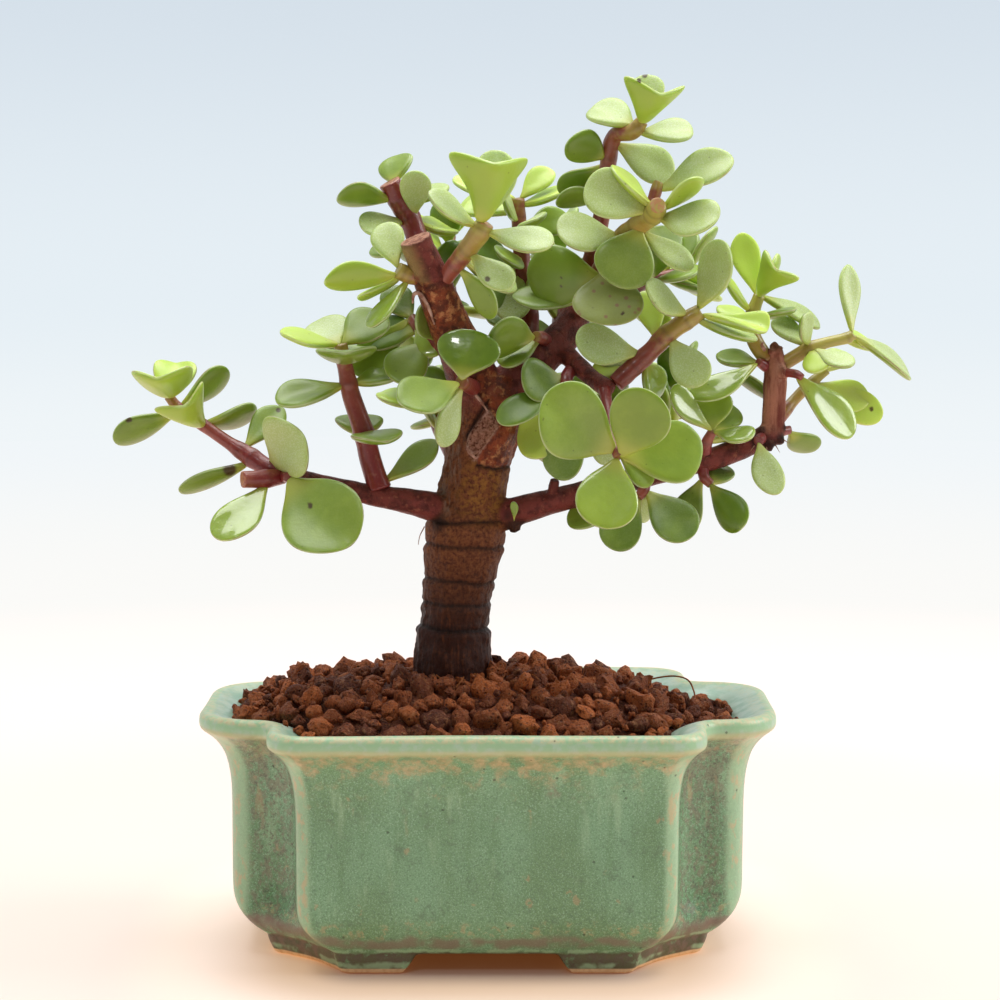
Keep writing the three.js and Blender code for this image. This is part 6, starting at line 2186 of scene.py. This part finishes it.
@dataclass
class Crown:
    """All leafy shoots. Each becomes one piece of stems and leaves."""

    blade: Blade
    root_share: float = 0.6
    pitch: float = 0.9  # between the rings of a stem
    back_radii: tuple[float, ...] = (2.4, 2.0, 1.7, 1.3)
    back_leaf: Row = (13.5, 10.5, 62.0)
    spots: tuple[Row, ...] = (
        # x, z and size of the dark marks on leaves
        (-44.5, 109.5, 1.1), (-64.5, 118.5, 2.1), (38.7, 216.0, 0.9), (37.2, 214.6, 0.8),
        (-89.5, 131.0, 1.0), (0.0, 166.0, 0.9), (95.7, 133.7, 0.8), (-52.2, 133.4, 0.8), (18.5, 166.5, 0.5),
        (18.3, 164.0, 0.5), (-41.0, 104.5, 0.45), (14.0, 131.0, 0.45), (47.5, 124.0, 0.5),
        (33.5, 157.5, 0.7),
    )

    def foot(self, route: Route, node: float, radius: float, tip: Vector) -> Vector:
        """Where a leaf that heads for `tip` leaves its stem.

        Args:
            route: The stem.
            node: Place on the stem.
            radius: The stem's radius there.
            tip: The leaf's far end.

        Returns:
            A layout point in the skin of the stem.
        """
        middle, along = route.at(node), route.heading(node)
        out = tip - middle
        return middle + (out - along * out.dot(along)).normalized() * radius * self.root_share

    def tip(self, start: Vector, leaf: Leaf) -> Vector:
        """The tip of a leaf of its length, leaning to the front where that is under 0.

        Args:
            start: Where the leaf starts.
            leaf: The leaf.

        Returns:
            A layout point.
        """
        depth = start.y
        for _ in range(4):
            flat = sighted(leaf.x, leaf.z, depth) - start
            room = max(leaf.length**2 - flat.x**2 - flat.z**2, 0.0)
            depth = start.y + math.copysign(math.sqrt(room), leaf.length)
        return sighted(leaf.x, leaf.z, depth)

    def stem(
        self, route: Route, nodes: Sequence[float], name: str, young: float = 0.0, cut: bool = False
    ) -> Piece:
        """A stem with a slight swelling at each pair of leaves, green where it is young.

        Args:
            route: Its middle line.
            nodes: Where its leaves sit.
            name: Its name.
            young: 1 where it is still green.
            cut: Whether its end is a cut.

        Returns:
            The stem.
        """
        rings = sorted({round(n * 2) / 2 for n in nodes})

        def swell(place: float) -> float:
            """Factor on the radius, larger at each pair of leaves."""
            return 1 + 0.10 * max((math.exp(-(((place - n) / 0.2) ** 2)) for n in rings), default=0.0)

        rod = route.tube(name, self.pitch, 3, swell)
        local = Bench.layout(rod)
        marks = route.steps(self.pitch)
        tree = kdtree.KDTree(len(marks))
        for i, mark in enumerate(marks):
            tree.insert(route.at(mark), i)
        tree.balance()
        near = np.array([marks[tree.find(Vector(p))[1]] for p in local])
        ring = np.zeros(len(near))
        for n in rings:
            ring = np.maximum(ring, np.exp(-(((near - n) / 0.07) ** 2)))
        blank = dict.fromkeys(
            ("along", "upper", "rim", "fresh", "shaded_green", "painted_sheen", "scab", "margin", "spot"), 0.0
        )
        Bench.paint(
            rod, age=near / route.spans, node=ring, young=young,
            cut=(near > route.spans - 0.01) * float(cut), **blank,
        )
        return rod

    def mark(self, shoot: Piece) -> None:
        """Paints the dark spots on the leaves that carry them."""
        local = Bench.layout(shoot)
        x, z = elevation(local).T
        spot = np.zeros(len(local))
        for sx, sz, size in self.spots:
            spot = np.maximum(spot, np.exp(-((np.hypot(x - sx, z - sz) / size) ** 2)))
        Bench.paint(shoot, spot=spot)

    def finish(self, name: str, stems: list[Piece], leaves: list[tuple[Piece, Look]], fine: int) -> Piece:
        """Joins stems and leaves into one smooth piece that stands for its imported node.

        Args:
            name: Name of the shoot.
            stems: Its stems.
            leaves: Its leaves and their looks.
            fine: Steps of subdivision.

        Returns:
            The shoot.
        """
        for rod in stems:
            Bench.dress(rod, self.stem_skin)
        for leaf, look in leaves:
            Bench.dress(leaf, self.wet_skin if look.is_wet else self.leaf_skin)
        shoot = Bench.joined([*stems, *[leaf for leaf, _ in leaves]])
        Bench.modify(shoot, "SUBSURF", levels=fine, render_levels=fine)
        self.mark(shoot)
        Bench.rest(shoot, f"leafy_{name}")
        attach(shoot, "root")
        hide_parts(f"shoot_{name}")
        LOG.info("shoot %s: %d leaves, %d faces", name, len(leaves), len(shoot.data.polygons))
        return shoot

    def front(self, name: str, stems: list[Stem]) -> Piece:
        """One laid-out shoot.

        Args:
            name: Name of the shoot.
            stems: Its stems with their leaves.

        Returns:
            The shoot.
        """
        dice = random.Random(name)
        rods, leaves = [], []
        for number, stem in enumerate(stems):
            route = stem.route
            rods.append(
                self.stem(
                    route, [leaf.node for leaf in stem.leaves], f"stem_{name}_{number}", stem.young,
                    stem.cut,
                )
            )
            for leaf in stem.leaves:
                tip = self.tip(route.at(leaf.node), leaf)
                foot = self.foot(route, leaf.node, stem.radii[int(leaf.node + 0.5)], tip)
                leaves.append((self.blade.grown(foot, tip, leaf, dice), leaf.look))
        return self.finish(name, rods, leaves, 2)

    def back(self, name: str, shoot: BackShoot) -> Piece:
        """One shoot that fills the back of the crown.

        Args:
            name: Name of the shoot.
            shoot: Its line, number of pairs and seed.

        Returns:
            The shoot.
        """
        route = Route(tuple(sighted(*p) for p in shoot.points), self.back_radii)
        length, width, opening = self.back_leaf
        state = shoot.seed
        dice = random.Random(shoot.seed)

        def roll() -> float:
            """The next chance of the shoot, from 0 to 1."""
            nonlocal state
            state = state * 48271 % 2147483647
            return state / 2147483647

        leaves, nodes = [], []
        for step in range(2 * shoot.pairs - 1):
            pair, chance = step / 2, (dice.random if step % 2 else roll)
            place = (0.3 + 0.7 * pair / (shoot.pairs - 1)) * route.spans
            nodes.append(place)
            middle, along = route.at(place), route.heading(place)
            across = along.cross(Vector((0, 0, 1))).normalized()
            for side in (0, 180):
                out = across.copy()
                out.rotate(
                    Matrix.Rotation(math.radians(45 + pair * 90 + side + (chance() - 0.5) * 30), 3, along)
                )
                spread = math.radians(opening - pair * 4 + (chance() - 0.5) * 16)
                size = 0.85 + chance() * 0.3
                tip = middle + (along * math.cos(spread) + out * math.sin(spread)) * length * size
                foot = self.foot(route, place, self.back_radii[int(place + 0.5)], tip)
                # looks chosen at random, among them lit, shaded and fresh ones that paint light and shade
                look = dice.choice((Look.PLAIN, Look.DEEP, Look.FRESH, Look.DEEP, Look.PALE))
                leaves.append(
                    (
                        self.blade.grown(
                            foot, tip, Leaf(0, 0, 0, 0, width * size, 0, (chance() - 0.5) * 50, look), dice
                        ),
                        look,
                    )
                )
        return self.finish(name, [self.stem(route, nodes, f"stem_{name}")], leaves, 1)

    def build(self, leaf_skin: Material) -> list[Piece]:
        """Builds every shoot, front and back."""
        self.leaf_skin = leaf_skin
        self.wet_skin = LeafSkin(name="leaf_wet", wet=True).material()
        self.stem_skin = StemSkin().material()
        made = [self.front(name, stems) for name, stems in SHOOTS.items()]
        return made + [self.back(name, shoot) for name, shoot in BACK_SHOOTS.items()]


# ---- Studio --------------------------------------------------------------------------------


@dataclass
class Studio:
    """A pale floor with a luminous paper wall round it, soft lights and the camera."""

    table: Tint = tint(197, 187, 180)
    under: Tint = (0.10, 0.03, 0.008, 1.0)  # painted shadow glowing from the floor under the pot; the next three paint light out from it
    # painted light glowing from the floor round the pot, ring by ring outwards
    lift: Tint = (0.40, 0.22, 0.10, 1.0)
    painted_light_pool: Tint = (0.58, 0.43, 0.35, 1.0)
    clear: Tint = (0.56, 0.34, 0.30, 1.0)
    floor_radius: float = 1.5
    wall_height: float = 2.4
    pitch: float = 0.109
    lens: float = 94.03
    room: Flat = (0.06, 0.62)  # strength of the room's light in front and behind

    def floor(self) -> Piece:
        """Spreads the pale floor, a little warmer round the pot, where its glow paints a shadow under the pot
        and light in rings out from it.
        """
        bpy.ops.mesh.primitive_circle_add(vertices=96, radius=0.3, fill_type="TRIFAN", location=(0, 0, 0))
        floor = Bench.fresh()
        with Bench.editing(floor, "EDGE"):
            bpy.ops.mesh.select_non_manifold(extend=False)
            bpy.ops.mesh.extrude_edges_move()
            wide = self.floor_radius / 0.3
            bpy.ops.transform.resize(value=(wide, wide, 1), center_override=(0, 0, 0))
        Bench.rest(floor, "studio_floor")
        m = Mixer("studio_floor", Roughness=0.9, Specular_IOR_Level=0.0, Emission_Strength=1.0)
        away = m.reach(0.0, 0.0)
        away_from_pot = m.reach(30.0, 34.0)
        colour = m.mix(m.step(away, 260, 620), self.table, (0, 0, 0, 1))
        # painted shadow under the pot, passing to painted light in rings outwards
        glow = m.mix(m.step(away_from_pot, 2.0, 16.0), self.under, self.lift)
        glow = m.mix(m.step(away_from_pot, 16.0, 42.0), glow, self.painted_light_pool)
        glow = m.mix(m.step(away_from_pot, 44.0, 66.0), glow, self.clear)
        far = m.mix(m.step(away, 450, 1500), tint(252, 251, 248), tint(241, 246, 249))
        m.wire(m.shader, "Emission Color", m.mix(m.step(away, 200, 620), glow, far))
        floor_skin = m.done(colour)
        floor_skin.cycles.emission_sampling = "NONE"
        Bench.dress(floor, floor_skin)
        return floor

    def wall(self) -> Piece:
        """Sweeps a paper wall up all round the floor, with its top left open."""
        bpy.ops.mesh.primitive_circle_add(vertices=96, radius=self.floor_radius)
        wall = Bench.fresh()
        with Bench.editing(wall, "EDGE"):
            bpy.ops.mesh.select_all(action="SELECT")
            radius, height = self.floor_radius, 0.0
            profile = [
                (self.floor_radius + 0.7 * math.sin(a), 0.7 - 0.7 * math.cos(a))
                for a in np.linspace(0.15, math.pi / 2, 9)
            ]
            for wide, high in [*profile, (self.floor_radius + 0.7, self.wall_height)]:
                bpy.ops.mesh.extrude_edges_move(TRANSFORM_OT_translate={"value": (0, 0, high - height)})
                bpy.ops.transform.resize(
                    value=(wide / radius, wide / radius, 1), center_override=(0, 0, high)
                )
                radius, height = wide, high
        Bench.rest(wall, "studio_wall")
        m = Mixer("studio_wall", Base_Color=(0, 0, 0, 1), Specular_IOR_Level=0.0, Emission_Strength=1.0)
        low = m.mix(m.step(m.height(), -40, 110), tint(242, 247, 249), tint(230, 239, 245))
        glow = m.mix(m.step(m.height(), 90, 480), low, tint(212, 223, 233))
        m.wire(m.shader, "Emission Color", glow)
        m.material.cycles.emission_sampling = "NONE"
        Bench.dress(wall, m.material)
        wall.visible_diffuse = wall.visible_glossy = wall.visible_transmission = wall.visible_shadow = False
        return wall

    def lamp(self, name: str, place: Row, size: float, power: float, colour: Row = (1, 1, 1)) -> None:
        """Hangs a square soft light that faces the crown.

        Args:
            name: Its name.
            place: Where it hangs, in metres.
            size: Its side.
            power: Its power in watts.
            colour: Its colour.
        """
        light = bpy.data.lights.new(name, "AREA")
        light.shape, light.size, light.energy, light.color = "SQUARE", size, power, colour
        lamp = bpy.data.objects.new(name, light)
        lamp.location = place
        lamp.rotation_euler = (Vector((0, 0, 0.09)) - Vector(place)).to_track_quat("-Z", "Y").to_euler()
        bpy.context.collection.objects.link(lamp)

    def sky(self) -> None:
        """Soft light from the room, stronger from above and behind than from the front."""
        world = bpy.data.worlds.new("soft_room")
        world.use_nodes = True
        tree = world.node_tree
        out = tree.nodes["Background"]
        turn = tree.nodes.new("ShaderNodeTexCoord").outputs["Generated"]
        parts = tree.nodes.new("ShaderNodeSeparateXYZ")
        tree.links.new(turn, parts.inputs[0])
        depth = tree.nodes.new("ShaderNodeMapRange")
        tree.links.new(parts.outputs["Y"], depth.inputs["Value"])
        for socket, value in (
            ("From Min", -0.9), ("From Max", 0.5), ("To Min", self.room[0]), ("To Max", self.room[1])
        ):
            depth.inputs[socket].default_value = value
        tree.links.new(depth.outputs[0], out.inputs["Strength"])
        out.inputs["Color"].default_value = (0.94, 0.97, 1.0, 1.0)
        bpy.context.scene.world = world

    def build(self) -> None:
        """Sets floor, wall, lights, room and camera."""
        for stage in (self.floor(), self.wall()):
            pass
        self.lamp("top_light", (0.0, 0.15, 1.35), 1.1, 17.5, (1.0, 0.99, 0.97))
        self.lamp("left_light", (-1.25, 0.1, 0.85), 0.7, 0.35, (0.97, 0.99, 1.0))
        self.lamp("right_light", (1.25, 0.0, 0.8), 0.7, 9.0)
        self.lamp("front_light", (-0.3, -0.95, 1.1), 0.15, 1.5)
        self.sky()
        data = bpy.data.cameras.new("camera")
        data.lens, data.sensor_width = self.lens, 36.0
        data.clip_start, data.clip_end = 0.02, 20.0
        camera = bpy.data.objects.new("camera", data)
        camera.location = placed(EYE)
        camera.rotation_euler = (math.pi / 2 - self.pitch, 0, 0)
        bpy.context.collection.objects.link(camera)
        bpy.context.scene.camera = camera
        bpy.context.scene.view_settings.view_transform = "Standard"


def screens() -> None:
    """Gives the two drain screens their scuffed plastic."""
    finish = Plastic().material()
    for side in ("left", "right"):
        Bench.dress(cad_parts[f"drain_screen_{side}"], finish)
        LOG.info("drain screen, %s", side)


def save_size() -> None:
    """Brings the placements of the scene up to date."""
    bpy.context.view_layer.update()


def main() -> None:
    """Builds the bonsai over its frame and sets it in the studio."""
    logging.basicConfig(level=logging.INFO, format="%(relativeCreated)7d %(name)s: %(message)s")
    Studio().build()
    LOG.info("studio: floor, lights and camera")
    blade = Blade()
    blade.model()
    pot = Pot()
    for piece in (pot.build(), Soil(pot).build()):
        LOG.info("%s: %d faces", piece.name, len(piece.data.polygons))
    leaf_skin = LeafSkin().material()
    wood = Wood().build(blade, leaf_skin)
    LOG.info("%s: %d faces", wood.name, len(wood.data.polygons))
    Crown(blade).build(leaf_skin)
    bpy.data.objects.remove(blade.pattern)
    screens()
    save_size()


if __name__ == "__main__":
    main()
